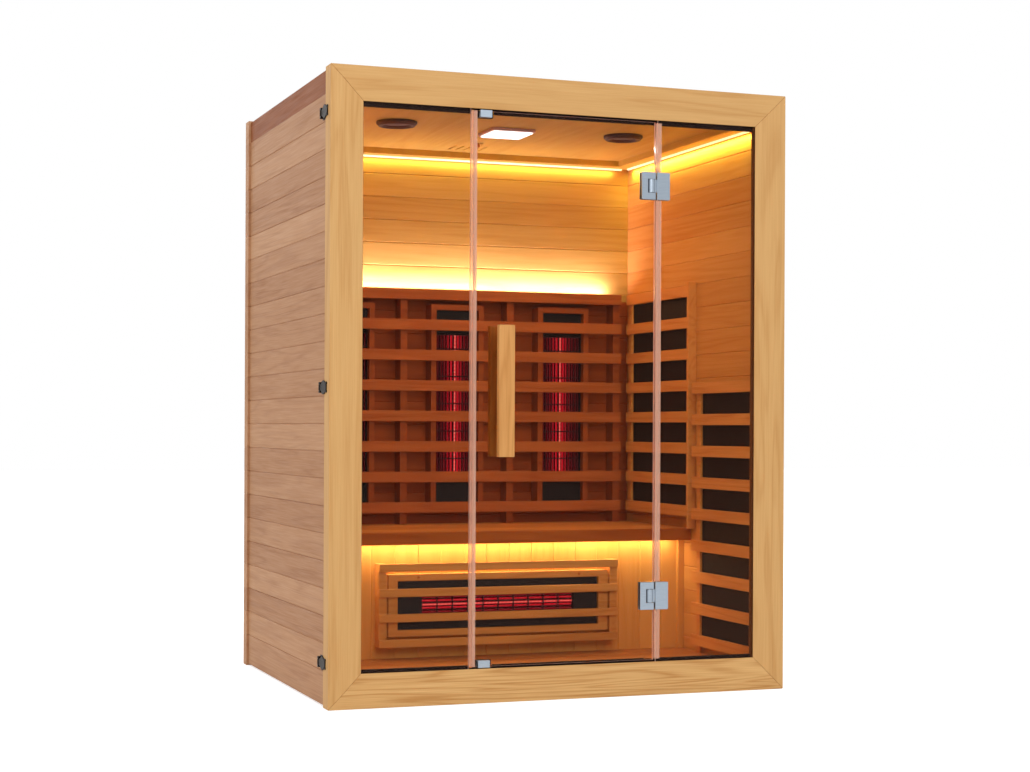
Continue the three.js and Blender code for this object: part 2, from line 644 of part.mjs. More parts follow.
// Handle bars on both faces of the door, bolted through the glass at their pegs
function addHandles() {
  const half = HANDLE_WIDTH / 2;
  const c = HANDLE_CHAMFER;
  const barSection = (y) => [
    [-half + c, y[0]],
    [half - c, y[0]],
    [half, y[0] + c],
    [half, y[1] - c],
    [half - c, y[1]],
    [-half + c, y[1]],
    [-half, y[1] - c],
    [-half, y[0] + c],
  ];
  const barZ = around(0, HANDLE_LENGTH / 2);
  const pegLength = HANDLE_STANDOFF - SEAT_GAP + OVERLAP;
  const pegs = (middle) => PEG_Z.map((z) => (
    rod(PEG_RADIUS, [0, middle, z - HANDLE_HEIGHT], pegLength, 'y', FINE)));
  const studLength = GLASS + SEAT_GAP + OVERLAP;
  const studs = PEG_Z.map((z) => (
    rod(STUD_RADIUS, [0, GLASS_BACK - studLength / 2, z - HANDLE_HEIGHT], studLength, 'y', COARSE)));

  const outerBar = GLASS_FRONT - HANDLE_STANDOFF;
  const outer = prismAlongZ(barSection([outerBar - HANDLE_THICK, outerBar]), barZ);
  const outerPegs = pegs(outerBar - OVERLAP + pegLength / 2);
  const place = [HANDLE_X, 0, HANDLE_HEIGHT];
  add('handle_outer', join(outer, outerPegs, studs), LOOKS.handleWood, place);

  const innerBar = GLASS_BACK + HANDLE_STANDOFF;
  const inner = prismAlongZ(barSection([innerBar, innerBar + HANDLE_THICK]), barZ);
  const innerPegs = pegs(innerBar + OVERLAP - pegLength / 2);
  add('handle_inner', join(inner, innerPegs), LOOKS.handleWood, place);
}

// Bench with its apron, and the kick panel of upright boards below it
function addBench() {
  const half = WALL_IN - BENCH_END_GAP;
  const benchY = [BENCH_FRONT, BACK_IN - SEAT_GAP];
  const seat = boardedSection(benchY, [BENCH_UNDER, BENCH_TOP], boardJoints(benchY, BENCH_BOARD), { high: true });
  const apronY = [BENCH_FRONT, BENCH_FRONT + APRON_THICK];
  const apron = rectangle(apronY, [BENCH_TOP - APRON_HEIGHT, BENCH_TOP - GROOVE_DEPTH - OVERLAP]);
  const benchX = around(0, half);
  add('bench_seat', join(prismAlongX(seat, benchX), prismAlongX(apron, benchX)), LOOKS.benchWood);

  const kickZ = [FLOOR_TOP + SEAT_GAP, BENCH_UNDER - SEAT_GAP];
  const kickY = [KICK_FRONT, KICK_FRONT + KICK_THICK];
  const boards = boardedSection(benchX, kickY, boardJoints(benchX, KICK_BOARD), { low: true });
  const battenY = [KICK_FRONT - BATTEN[1], KICK_FRONT + OVERLAP];
  const battens = Object.values(SIDES).map((sign) => (
    box(span(sign * half, sign * (half - BATTEN[0])), battenY, kickZ)));
  add('bench_kick_panel', join(prismAlongZ(boards, kickZ), battens), LOOKS.kickWood);
}

// Backrest grille: slats on posts, a light shelf behind the top slat and a box round each heater
function addBackrest() {
  const slatX = around(0, GRILLE_HALF);
  const slatY = [GRILLE_BACK - SLAT_THICK, GRILLE_BACK];
  const slats = count(SLATS).map((i) => {
    const bottom = GRILLE_BOTTOM + SLAT_PITCH * i;
    return box(slatX, slatY, [bottom, bottom + SLAT]);
  });
  const postZ = [BENCH_TOP + SEAT_GAP, GRILLE_TOP - OVERLAP];
  const endPost = GRILLE_HALF - END_POST_INSET - POST / 2;
  const posts = [-endPost, -POST_SPREAD, POST_SPREAD, endPost].map((x) => box(around(x, POST / 2), GRILLE_Y, postZ));
  const shelfZ = [GRILLE_TOP - SHELF_DROP - SHELF_THICK, GRILLE_TOP - SHELF_DROP];
  const shelf = box(slatX, GRILLE_Y, shelfZ);
  const boxes = Object.values(HEATER_X).map((x) => {
    const half = HEATER_WIDTH / 2;
    const outline = rectangle(around(x, half + HEATER_BOARD), [HEATER_Z[0] - HEATER_BOARD, HEATER_Z[1] + HEATER_BOARD]);
    return prismAlongY(outline, GRILLE_Y, [rectangle(around(x, half), HEATER_Z)]);
  });
  add('backrest_grille', join(slats, posts, shelf, boxes), LOOKS.slatWood);
}

// Ribbed section of an emitter: along by depth, ribs toward the front
function ribbedSection(along, depth) {
  const ribs = Math.round((along[1] - along[0]) / RIB_PITCH);
  const pitch = (along[1] - along[0]) / ribs;
  const crest = depth[0];
  const root = crest + RIB_DEPTH;
  const teeth = count(ribs).flatMap((i) => {
    const start = along[0] + pitch * i;
    return [[start, root], [start + pitch / 2, crest]];
  });
  return [...teeth, [along[1], root], [along[1], depth[1]], [along[0], depth[1]]];
}

// Upright heaters in the backrest: housing, guard wires, ribbed emitter with its tube
function addBackHeaters() {
  const half = HEATER_WIDTH / 2 - SEAT_GAP;
  const housing = box(around(0, half), [HEATER_FACE, BACK_IN - SEAT_GAP], [HEATER_Z[0] + SEAT_GAP, HEATER_Z[1] - SEAT_GAP]);
  const recessY = [HEATER_FACE - OVERLAP, HEATER_FACE + RECESS_DEPTH];
  const recess = box(around(0, half - RECESS_MARGIN), recessY, RECESS_Z);
  const wireStep = (RECESS_Z[1] - RECESS_Z[0]) / WIRES;
  const wireY = [HEATER_FACE + 1, HEATER_FACE + 1 + WIRE];
  const wires = count(WIRES).map((i) => {
    const middle = RECESS_Z[0] + wireStep * (i + 0.5);
    return box(around(0, half - OVERLAP), wireY, around(middle, WIRE / 2));
  });
  const heater = join(cut(housing, recess), wires);

  const back = HEATER_FACE + RECESS_DEPTH - SEAT_GAP;
  const depth = [back - EMITTER_PLATE - RIB_DEPTH, back];
  const emitterX = around(0, half - RECESS_MARGIN - EMITTER_GAP);
  const emitterZ = [RECESS_Z[0] + EMITTER_GAP, RECESS_Z[1] - EMITTER_GAP];
  const ribs = prismAlongZ(ribbedSection(emitterX, depth), emitterZ);
  const tube = rod(TUBE_RADIUS, [0, depth[0] + 1, (emitterZ[0] + emitterZ[1]) / 2], emitterZ[1] - emitterZ[0], 'z', COARSE);
  const emitter = join(ribs, tube);
  for (const [place, x] of Object.entries(HEATER_X)) {
    add(`back_heater_${place}`, heater, LOOKS.heaterBlack, [x, 0, 0]);
    add(`back_emitter_${place}`, emitter, LOOKS.emitter, [x, 0, 0]);
  }
}

// Flat panel heaters on the side walls behind their slatted guards
function addSideHeaters() {
  const panelU = [SEAT_GAP, SEAT_GAP + PANEL_THICK];
  const postU = [panelU[1] + SEAT_GAP, GUARD_STANDOFF + OVERLAP];
  const slatU = [GUARD_STANDOFF, GUARD_STANDOFF + GUARD_SLAT];

  const rearY = [BENCH_FRONT - REAR_OVERHANG, BACK_IN - REAR_END_GAP];
  const rearPosts = [[rearY[0], rearY[0] + POST], [rearY[1] - POST, rearY[1]]];
  const rearSlats = count(SLATS).map((i) => GRILLE_BOTTOM + SLAT_PITCH * i);
  const endBoardY = [rearY[0] - END_BOARD, rearY[0] + OVERLAP];
  const endBoardZ = [BENCH_TOP, GRILLE_TOP + END_BOARD_RISE];

  const frontY = [FRAME_DEPTH + FRONT_GAP, BENCH_FRONT - BENCH_CLEAR];
  const rearEdge = frontY[1] - FRONT_POST_INSET;
  const frontPosts = [[frontY[0], frontY[0] + POST], [rearEdge - POST, rearEdge]];
  const frontBottom = FLOOR_TOP + FRONT_FOOT;
  const frontSlats = count(FRONT_SLATS).map((i) => frontBottom + FRONT_PITCH * i);
  const frontTop = frontSlats[FRONT_SLATS - 1] + SLAT;

  for (const [side, sign] of Object.entries(SIDES)) {
    const slats = (bottoms, y) => bottoms.map((z) => sideBox(sign, slatU, y, [z, z + SLAT]));
    const posts = (places, z) => places.map((y) => sideBox(sign, postU, y, z));

    const endBoard = sideBox(sign, [SEAT_GAP, slatU[1]], endBoardY, endBoardZ);
    const rearGuard = join(slats(rearSlats, rearY), posts(rearPosts, [GRILLE_BOTTOM, GRILLE_TOP]), endBoard);
    add(`side_guard_${side}_rear`, rearGuard, LOOKS.slatWood);
    const rearPanelY = [rearPosts[0][0] + PANEL_MARGIN, rearPosts[1][1] - PANEL_MARGIN];
    const rearPanelZ = [GRILLE_BOTTOM + PANEL_MARGIN, GRILLE_TOP - PANEL_MARGIN];
    add(`side_heater_${side}_rear`, sideBox(sign, panelU, rearPanelY, rearPanelZ), LOOKS.carbon);

    const frontGuard = join(slats(frontSlats, frontY), posts(frontPosts, [FLOOR_TOP + SEAT_GAP, frontTop]));
    add(`side_guard_${side}_front`, frontGuard, LOOKS.slatWood);
    const frontPanelY = [frontPosts[0][0] + PANEL_MARGIN, frontPosts[1][1] - PANEL_MARGIN];
    const frontPanelZ = [frontBottom + PANEL_MARGIN, frontTop - PANEL_MARGIN];
    add(`side_heater_${side}_front`, sideBox(sign, panelU, frontPanelY, frontPanelZ), LOOKS.carbon);
  }
}

// Calf heater on the kick panel: wooden box, bars across it, black housing and a lying emitter
function addCalfHeater() {
  const pitch = (CALF_Z[1] - CALF_Z[0] - CALF_BAR) / (CALF_BARS - 1);
  const barY = [CALF_Y[0], CALF_Y[0] + CALF_BAR_THICK];
  const bars = count(CALF_BARS).map((i) => {
    const bottom = CALF_Z[0] + pitch * i;
    return box(around(0, CALF_HALF), barY, [bottom, bottom + CALF_BAR]);
  });
  const behindBars = [barY[1] - OVERLAP, CALF_Y[1]];
  const posts = Object.values(SIDES).map((sign) => (
    box(span(sign * CALF_HALF, sign * (CALF_HALF - CALF_POST)), behindBars, CALF_Z)));
  const frame = prismAlongY(
    rectangle(around(0, CALF_BOX_HALF), CALF_BOX_Z),
    [CALF_FACE - CALF_BAR_THICK, CALF_Y[1]],
    [rectangle(around(0, CALF_HEATER_HALF), CALF_HEATER_Z)],
  );
  const ties = Object.values(SIDES).map((sign) => (
    box(
      span(sign * (CALF_HALF - CALF_POST + OVERLAP), sign * (CALF_BOX_HALF - OVERLAP)),
      [CALF_FACE, CALF_Y[1]],
      CALF_BOX_Z,
    )));
  add('calf_guard', join(bars, posts, frame, ties), LOOKS.slatWood);

  const half = CALF_HEATER_HALF - SEAT_GAP;
  const housingZ = [CALF_HEATER_Z[0] + SEAT_GAP, CALF_HEATER_Z[1] - SEAT_GAP];
  const housing = box(around(0, half), [CALF_FACE, CALF_Y[1]], housingZ);
  const recessY = [CALF_FACE - OVERLAP, CALF_FACE + CALF_RECESS_DEPTH];
  const recess = box(around(0, CALF_RECESS_HALF), recessY, CALF_RECESS_Z);
  const wireStep = (2 * CALF_RECESS_HALF) / (CALF_WIRES + 1);
  const wireY = [CALF_FACE + 1, CALF_FACE + 1 + WIRE];
  const wireZ = [CALF_RECESS_Z[0] - OVERLAP, CALF_RECESS_Z[1] + OVERLAP];
  const wires = count(CALF_WIRES).map((i) => (
    box(around(wireStep * (i + 1) - CALF_RECESS_HALF, WIRE / 2), wireY, wireZ)));
  add('calf_heater', join(cut(housing, recess), wires), LOOKS.heaterBlack);

  const back = CALF_FACE + CALF_RECESS_DEPTH - SEAT_GAP;
  const depth = [back - EMITTER_PLATE - RIB_DEPTH, back];
  const emitterZ = [CALF_RECESS_Z[0] + EMITTER_GAP, CALF_RECESS_Z[1] - EMITTER_GAP];
  const emitterX = around(0, CALF_RECESS_HALF - EMITTER_GAP);
  const section = ribbedSection(emitterZ, depth);
  const ribs = prismAlongX(swapped(section), emitterX);
  const middle = (emitterZ[0] + emitterZ[1]) / 2;
  const tube = rod(TUBE_RADIUS, [0, depth[0] + 1, middle], emitterX[1] - emitterX[0], 'x', COARSE);
  add('calf_emitter', join(ribs, tube), LOOKS.emitter);
}

// Light, speakers and the sliding vent plate
function addCeiling() {
  const under = CEILING - SEAT_GAP;
  const roundedSquare = (inset) => {
    const [halfX, halfY] = LIGHT_SIZE.map((size) => size / 2 - inset);
    const shape = new THREE.Shape();
    const r = LIGHT_CORNER - inset / 2;
    shape.absarc(halfX - r, halfY - r, r, 0, Math.PI / 2);
    shape.absarc(r - halfX, halfY - r, r, Math.PI / 2, Math.PI);
    shape.absarc(r - halfX, r - halfY, r, Math.PI, Math.PI * 1.5);
    shape.absarc(halfX - r, r - halfY, r, Math.PI * 1.5, Math.PI * 2);
    return shape.getPoints(4).map((point) => [point.x, point.y]);
  };
  const rim = prismAlongZ(roundedSquare(0), [under - LIGHT_THICK + 4, under]);
  const diffuser = prismAlongZ(roundedSquare(LIGHT_RIM), [under - LIGHT_THICK, under - OVERLAP]);
  add('ceiling_light', join(rim, diffuser), LOOKS.light, [0, LIGHT_Y, 0]);

  const profile = [
    [0, -SPEAKER_DEPTH + 4],
    [SPEAKER_RADIUS * 0.3, -SPEAKER_DEPTH + 5],
    [SPEAKER_RADIUS * 0.62, -SPEAKER_DEPTH + 8],
    [SPEAKER_RADIUS * 0.74, -SPEAKER_DEPTH],
    [SPEAKER_RADIUS * 0.88, -SPEAKER_DEPTH],
    [SPEAKER_RADIUS, -SPEAKER_DEPTH + 8],
    [SPEAKER_RADIUS, 0],
    [0, 0],
  ];
  const turned = new THREE.LatheGeometry(profile.map(([r, h]) => new THREE.Vector2(r, h)), FINE);
  const speaker = toSolid(turned.rotateX(Math.PI / 2));
  for (const [side, sign] of Object.entries(SIDES)) {
    const place = [sign * (WALL_IN - SPEAKER_FROM_WALL), LIGHT_Y - SPEAKER_AHEAD, under];
    add(`speaker_${side}`, speaker, LOOKS.speaker, place);
  }

  const plateZ = [CEILING + CEILING_BOARD + SEAT_GAP, CEILING + CEILING_BOARD + SEAT_GAP + SLIDER_THICK];
  const plate = box(around(0, SLIDER_HALF), SLIDER_Y, plateZ);
  const slots = ventSlots([plateZ[0] - OVERLAP, plateZ[1] + OVERLAP]);
  const knobBottom = CEILING - KNOB_LENGTH;
  const stemZ = [knobBottom + OVERLAP, plateZ[0] + OVERLAP];
  const stem = rod(KNOB_STEM, [KNOB_X, KNOB_Y, (stemZ[0] + stemZ[1]) / 2], stemZ[1] - stemZ[0], 'z', COARSE);
  const capLength = KNOB_LENGTH - 2;
  const cap = rod(KNOB_RADIUS, [KNOB_X, KNOB_Y, knobBottom + capLength / 2], capLength, 'z', COARSE);
  add('vent_slider', join(cut(plate, slots), stem, cap), LOOKS.slatWood);
}

// Panel latches: a base with two lugs on the wall, a diamond lever hooked over the frame's stile
function addLatches() {
  const levels = { upper: HEIGHT - LATCH_FROM_END, middle: HEIGHT / 2, lower: LATCH_FROM_END };
  const tip = FRAME_DEPTH - LATCH_REACH - PIVOT_Y;
  const neck = -10;
  const edge = new THREE.SplineCurve([
    new THREE.Vector2(tip, LATCH_TIP),
    new THREE.Vector2(tip + 16, LATCH_WIDEST - 5.5),
    new THREE.Vector2(tip / 2 - 3, LATCH_WIDEST),
    new THREE.Vector2(neck - 14, LATCH_WIDEST - 7),
    new THREE.Vector2(neck, LATCH_NECK),
  ]).getPoints(8).map((point) => [point.x, point.y]);
  const upperEdge = [...edge, [0, LATCH_NECK]];
  const lowerEdge = upperEdge.map(([y, z]) => [y, -z]).reverse();
  const plateOut = [WALL_INSET + 1 - PIVOT_OUT, WALL_INSET + 1 + LATCH_PLATE - PIVOT_OUT];
  const padOut = [WALL_INSET + LATCH_CLEAR - PIVOT_OUT, plateOut[0] + OVERLAP];
  const baseOut = [SEAT_GAP - PIVOT_OUT, SEAT_GAP + LATCH_BASE_THICK - PIVOT_OUT];
  const lugOut = [baseOut[1] - OVERLAP, LUG_RISE - PIVOT_OUT];

  for (const [side, sign] of Object.entries(SIDES)) {
    const outward = (u) => span(sign * u[0], sign * u[1]);
    const diamond = prismAlongX([...upperEdge, ...lowerEdge], outward(plateOut));
    const pad = box(outward(padOut), [tip + LATCH_PAD[0], tip + LATCH_PAD[1]], around(0, LATCH_TIP - 1));
    const hub = rod(HUB_RADIUS, [0, 0, 0], 2 * LATCH_NECK, 'z', COARSE);
    const trunnions = rod(TRUNNION_RADIUS, [0, 0, 0], 2 * (LUG[1] - RUNNING_GAP), 'z', COARSE);
    const lever = join(diamond, pad, hub, trunnions);

    const plate = box(outward(baseOut), [-LATCH_BASE[0], LATCH_BASE[1]], around(0, LATCH_BASE[2]));
    const lugs = [1, -1].map((end) => box(outward(lugOut), around(0, LUG_HALF), span(end * LUG[0], end * LUG[1])));
    const bore = rod(TRUNNION_RADIUS + BORE_GAP, [0, 0, 0], 2 * (LUG[1] + OVERLAP), 'z', COARSE);
    const base = cut(join(plate, lugs), bore);
    for (const [level, z] of Object.entries(levels)) {
      const place = [sign * (WALL_OUT + PIVOT_OUT), PIVOT_Y, z];
      add(`latch_base_${side}_${level}`, base, LOOKS.latch, place);
      add(`latch_lever_${side}_${level}`, lever, LOOKS.latch, place);
    }
  }
}

addShell();
addFrame();
addGlass();
addSeals();
addStrikes();
addHinges();
addHandles();
addBench();
addBackrest();
addBackHeaters();
addSideHeaters();
addCalfHeater();
addCeiling();
addLatches();

export default cabin;
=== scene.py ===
# %% [markdown]
# # A glass-fronted infrared sauna cabin
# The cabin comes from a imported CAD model: walls, frame, glass, bench, grilles and heaters are already
# solids in metres, each in its right place. This lesson dresses them. It rounds the edges that a joiner
# would sand, gives every surface a procedural finish, adds the light strips and the small hardware, and
# sets up the studio.

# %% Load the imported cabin
import json
import math

import bmesh
import bpy
from mathutils import Matrix, Vector


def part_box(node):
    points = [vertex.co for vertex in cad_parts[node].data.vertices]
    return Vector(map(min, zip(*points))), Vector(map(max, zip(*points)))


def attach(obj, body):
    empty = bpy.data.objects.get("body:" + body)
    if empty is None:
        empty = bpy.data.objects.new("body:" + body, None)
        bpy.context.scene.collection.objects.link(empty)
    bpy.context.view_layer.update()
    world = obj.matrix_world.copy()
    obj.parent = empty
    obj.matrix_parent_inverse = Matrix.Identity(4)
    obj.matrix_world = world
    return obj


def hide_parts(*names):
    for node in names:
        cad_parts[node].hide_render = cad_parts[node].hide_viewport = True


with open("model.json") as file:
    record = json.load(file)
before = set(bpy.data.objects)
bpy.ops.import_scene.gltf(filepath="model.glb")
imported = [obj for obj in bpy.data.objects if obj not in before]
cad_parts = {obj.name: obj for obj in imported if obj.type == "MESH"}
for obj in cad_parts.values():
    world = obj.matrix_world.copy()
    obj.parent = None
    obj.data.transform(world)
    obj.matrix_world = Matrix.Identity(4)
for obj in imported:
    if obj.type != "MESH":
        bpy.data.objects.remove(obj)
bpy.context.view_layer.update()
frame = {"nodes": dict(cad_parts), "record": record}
scene = bpy.context.scene
scene.view_settings.view_transform = "Standard"

# %% [markdown]
# ## Camera
# The photograph was taken level, from the front left, with the cabin's uprights kept parallel. A level
# camera with a vertical shift does the same. Its eye, turn and focal length were fitted to the corners of
# the frame in the photograph's own pixels.

# %% Place the camera
PHOTO_WIDTH = 1030
PHOTO_HEIGHT = 772
FOCAL_PIXELS = 1883
HORIZON_ROW = 429
YAW = math.radians(20.24)
ROLL = math.radians(0.262)
EYE = (-2.155, -5.972, 0.831)
SENSOR = 36

UP = Vector((0, 0, 1))
level = Vector((math.cos(YAW), -math.sin(YAW), 0))
ahead = Vector((math.sin(YAW), math.cos(YAW), 0))
image_right = level * math.cos(ROLL) + UP * math.sin(ROLL)
image_up = UP * math.cos(ROLL) - level * math.sin(ROLL)


def turned_to(place, x_axis, y_axis, z_axis):
    """A matrix that puts an object at a place with its own axes along the three given ones."""
    return Matrix.Translation(place) @ Matrix((x_axis, y_axis, z_axis)).transposed().to_4x4()


camera_data = bpy.data.cameras.new("photo_camera")
camera_data.sensor_fit = "HORIZONTAL"
camera_data.sensor_width = SENSOR
camera_data.lens = SENSOR * FOCAL_PIXELS / PHOTO_WIDTH
camera_data.shift_y = (HORIZON_ROW - PHOTO_HEIGHT / 2) / PHOTO_WIDTH
camera = bpy.data.objects.new("photo_camera", camera_data)
camera.matrix_world = turned_to(EYE, image_right, image_up, -ahead)
scene.collection.objects.link(camera)
scene.camera = camera
print("lens", round(camera_data.lens, 2), "shift", round(camera_data.shift_y, 4))

# %% [markdown]
# ## Shader maths
# A finish is easier to read as a sum than as a web of nodes. The first class below wraps one socket and
# lets Python's operators add the Math nodes. The second one holds a node tree and makes every other node
# with a single method.

# %% A socket that takes part in sums


class Value:
    """One output socket, with Python's own operators."""

    def __init__(self, tree, socket):
        self.tree = tree
        self.socket = socket

    def math(self, operation, *others):
        terms = dict(enumerate((self, *others)))
        return self.tree.node("ShaderNodeMath", {"operation": operation}, terms)

    def after(self, operation, first):
        return self.tree.node("ShaderNodeMath", {"operation": operation}, {0: first, 1: self})

    def __add__(self, other):
        return self.math("ADD", other)

    def __sub__(self, other):
        return self.math("SUBTRACT", other)

    def __mul__(self, other):
        return self.math("MULTIPLY", other)

    def __truediv__(self, other):
        return self.math("DIVIDE", other)

    def __radd__(self, other):
        return self.after("ADD", other)

    def __rsub__(self, other):
        return self.after("SUBTRACT", other)

    def __rmul__(self, other):
        return self.after("MULTIPLY", other)

    def __rtruediv__(self, other):
        return self.after("DIVIDE", other)

    def __lt__(self, other):
        return self.math("LESS_THAN", other)

    def __gt__(self, other):
        return self.math("GREATER_THAN", other)

    def __abs__(self):
        return self.math("ABSOLUTE")

    def whole(self):
        return self.math("FLOOR")

    def part(self):
        return self.math("FRACT")

    def from_middle(self):
        """The distance from the middle of each whole step, from 0 to a half."""
        return abs(self.part() - 0.5)

    def wave(self):
        """A sine between 0 and 1."""
        return self.math("SINE") * 0.5 + 0.5

    def held(self):
        """The value, kept between 0 and 1."""
        return self.tree.node("ShaderNodeClamp", None, {"Value": self})


print("sums of sockets ready")

# %% A node tree that makes its own nodes
MIX_FACTOR = 0
MIX_FIRST = 6
MIX_SECOND = 7
MIX_RESULT = 2


class Finish:
    """The node tree of a material or a world."""

    def __init__(self, owner):
        owner.use_nodes = True
        self.nodes = owner.node_tree.nodes
        self.links = owner.node_tree.links
        self.nodes.clear()

    def node(self, kind, settings=None, inputs=None, out=0):
        made = self.nodes.new(kind)
        for name, setting in (settings or {}).items():
            setattr(made, name, setting)
        for key, given in (inputs or {}).items():
            if isinstance(given, Value):
                self.links.new(given.socket, made.inputs[key])
            else:
                made.inputs[key].default_value = given
        return Value(self, made.outputs[out]) if len(made.outputs) else None

    def place(self):
        return self.node("ShaderNodeTexCoord", out="Object")

    def spot(self, vector):
        split = [self.node("ShaderNodeSeparateXYZ", None, {0: vector}, axis) for axis in "XYZ"]
        return dict(zip("XYZ", split))

    def mix(self, factor, first, second):
        inputs = {MIX_FACTOR: factor, MIX_FIRST: first, MIX_SECOND: second}
        return self.node("ShaderNodeMix", {"data_type": "RGBA"}, inputs, MIX_RESULT)

    def noise(self, vector, scale, detail, distortion=0.0):
        stretched = self.node("ShaderNodeMapping", None, {"Vector": vector, "Scale": scale})
        inputs = {"Vector": stretched, "Scale": 1.0, "Detail": detail, "Distortion": distortion}
        return self.node("ShaderNodeTexNoise", None, inputs, "Fac")

    def bump(self, height, strength, distance):
        inputs = {"Height": height, "Strength": strength, "Distance": distance}
        return self.node("ShaderNodeBump", None, inputs)

    def surface(self, **inputs):
        named = {name.replace("_", " "): given for name, given in inputs.items()}
        return self.node("ShaderNodeBsdfPrincipled", None, named)

    def show(self, shader):
        self.node("ShaderNodeOutputMaterial", None, {"Surface": shader})


def new_finish(name):
    material = bpy.data.materials.new(name)
    return material, Finish(material)


def srgb(red, green, blue):
    """A colour as it is read off a screen, turned into Blender's linear one."""
    shares = [part / 255 for part in (red, green, blue)]
    return (*[s / 12.92 if s <= 0.04045 else ((s + 0.055) / 1.055) ** 2.4 for s in shares], 1)


print("shader maths ready")

# %% [markdown]
# ## Wood
# Almost everything here is planed softwood. Its look has three layers: fine fibres along the board, the
# wider figure of the growth rings, and a tone that jumps from one board to the next. Noise that is
# stretched along the grain gives the first two, and a random number for each board gives the third. The
# same boards are paler outside. Where a position mask says that a face looks into the room, that face
# takes a second, honey coloured pair, which paints in part of the strips' warm glow. The back wall behind
# the backrest, the posts behind its slats and the bench's front edge get their own darker pair in the same
# way, as painted shade, and the door's inner handle is a darker, painted-shade copy of the outer one.

# %% Wood finish
FIBRE_ALONG = 6
FIBRE_ACROSS = 300
FIBRE_DETAIL = 4
FIBRE_CONTRAST = 2.2
FIGURE_ALONG = 0.8
FIGURE_ACROSS = 13
FIGURE_DETAIL = 2
FIGURE_WANDER = 0.5
RINGS = 34
LINE_SHARPNESS = 5
SMUDGE_ALONG = 2.2
SMUDGE_ACROSS = 15
SMUDGE_DETAIL = 3
SMUDGE_FROM = 0.58
SMUDGE_SLOPE = 4
BAND_SHARE = 0.14
LINE_SHARE = 0.26
FIBRE_SHARE = 0.42
GRAIN_MEAN = 0.34
SMUDGE_SHARE = 0.3
DEPTH_MEAN = 0.46
EVEN_TONE = 0.5
BOARD_CONTRAST = 0.45
BLACK = (0, 0, 0, 1)
BOARD_JUMP = (5.3, 3.7, 7.1, 1)
FIBRE_RELIEF = 0.7
LINE_RELIEF = 0.3
WOOD_RELIEF = 0.25
WOOD_RELIEF_HEIGHT = 0.0006
WOOD_ROUGHNESS = 0.45
FIBRE_ROUGHNESS = 0.2
WOOD_GLOSS = 0.08


def along_grain(grain, along, across):
    return [along if axis == grain else across for axis in "XYZ"]


def wood(name, tones, grain, boards=None, layers=(), contrast=BOARD_CONTRAST, strength=1.0, rings=RINGS):
    """A timber from a pale and a deep tone, with further pairs where a layer's mask is 1."""
    material, finish = new_finish(name)
    place = finish.place()
    spot = finish.spot(place)
    tone = EVEN_TONE
    if boards:
        axis, start, pitch = boards
        number = ((start - spot[axis]) / pitch).whole()
        tone = finish.node("ShaderNodeTexWhiteNoise", {"noise_dimensions": "1D"}, {"W": number}, "Value")
        jump = finish.mix(tone, BLACK, BOARD_JUMP)
        place = finish.node("ShaderNodeVectorMath", {"operation": "ADD"}, {0: place, 1: jump})
    fibre = finish.noise(place, along_grain(grain, FIBRE_ALONG, FIBRE_ACROSS), FIBRE_DETAIL)
    fibre = ((fibre - EVEN_TONE) * FIBRE_CONTRAST + EVEN_TONE).held()
    figure_scale = along_grain(grain, FIGURE_ALONG, FIGURE_ACROSS)
    bands = (finish.noise(place, figure_scale, FIGURE_DETAIL, FIGURE_WANDER) * rings).wave()
    lines = bands.math("POWER", LINE_SHARPNESS)
    smudge = finish.noise(place, along_grain(grain, SMUDGE_ALONG, SMUDGE_ACROSS), SMUDGE_DETAIL)
    smudge = ((smudge - SMUDGE_FROM) * SMUDGE_SLOPE).held()
    grain_depth = bands * BAND_SHARE + lines * LINE_SHARE + fibre * FIBRE_SHARE - GRAIN_MEAN
    board_depth = (tone - EVEN_TONE) * contrast
    depth = (grain_depth * strength + smudge * SMUDGE_SHARE + board_depth + DEPTH_MEAN).held()
    colour = finish.mix(depth, *tones)
    for mask, layer_tones in layers:
        colour = finish.mix(mask(spot), colour, finish.mix(depth, *layer_tones))
    relief = fibre * FIBRE_RELIEF + lines * LINE_RELIEF
    finish.show(finish.surface(
        Base_Color=colour,
        Roughness=fibre * FIBRE_ROUGHNESS + WOOD_ROUGHNESS,
        Specular_IOR_Level=WOOD_GLOSS,
        Normal=finish.bump(relief, WOOD_RELIEF, WOOD_RELIEF_HEIGHT),
    ))
    return material


print("wood finish ready")

# %% Pale and deep tones of each timber
WALL = (srgb(200, 152, 113), srgb(160, 110, 75))
# Painted warm glow: the back wall's boards where they face the room
ROOM_PAINTED_GLOW = (srgb(216, 172, 88), srgb(183, 132, 54))
# Painted warm glow: the side walls' boards where they face the room
SIDE_PAINTED_GLOW = (srgb(232, 168, 86), srgb(200, 127, 52))
# Painted shade on the back wall behind the backrest's slats
GRILLE_SHADE = (srgb(186, 88, 34), srgb(148, 63, 20))
# Painted shade on the backrest's posts behind its slats
POST_SHADE = (srgb(168, 84, 35), srgb(136, 61, 22))
CROWN = (srgb(157, 93, 53), srgb(126, 70, 38))
# Painted warm glow: the roof's boards where they face the room
CEILING_PAINTED_GLOW = (srgb(224, 186, 85), srgb(201, 153, 61))
FRAME = (srgb(225, 181, 121), srgb(190, 136, 78))
FLOOR = (srgb(195, 124, 60), srgb(165, 93, 40))
BENCH = (srgb(218, 137, 64), srgb(184, 104, 45))
# Painted shade on the bench seat's front face
APRON_SHADE = (srgb(196, 108, 36), srgb(162, 78, 22))
KICK = (srgb(236, 172, 84), srgb(211, 140, 60))
BACK_SLAT = (srgb(193, 106, 48), srgb(157, 77, 31))
GUARD_SLAT = (srgb(238, 164, 82), srgb(208, 126, 57))
CALF_SLAT = (srgb(229, 162, 80), srgb(197, 124, 54))
HANDLE = (srgb(222, 164, 100), srgb(190, 129, 69))
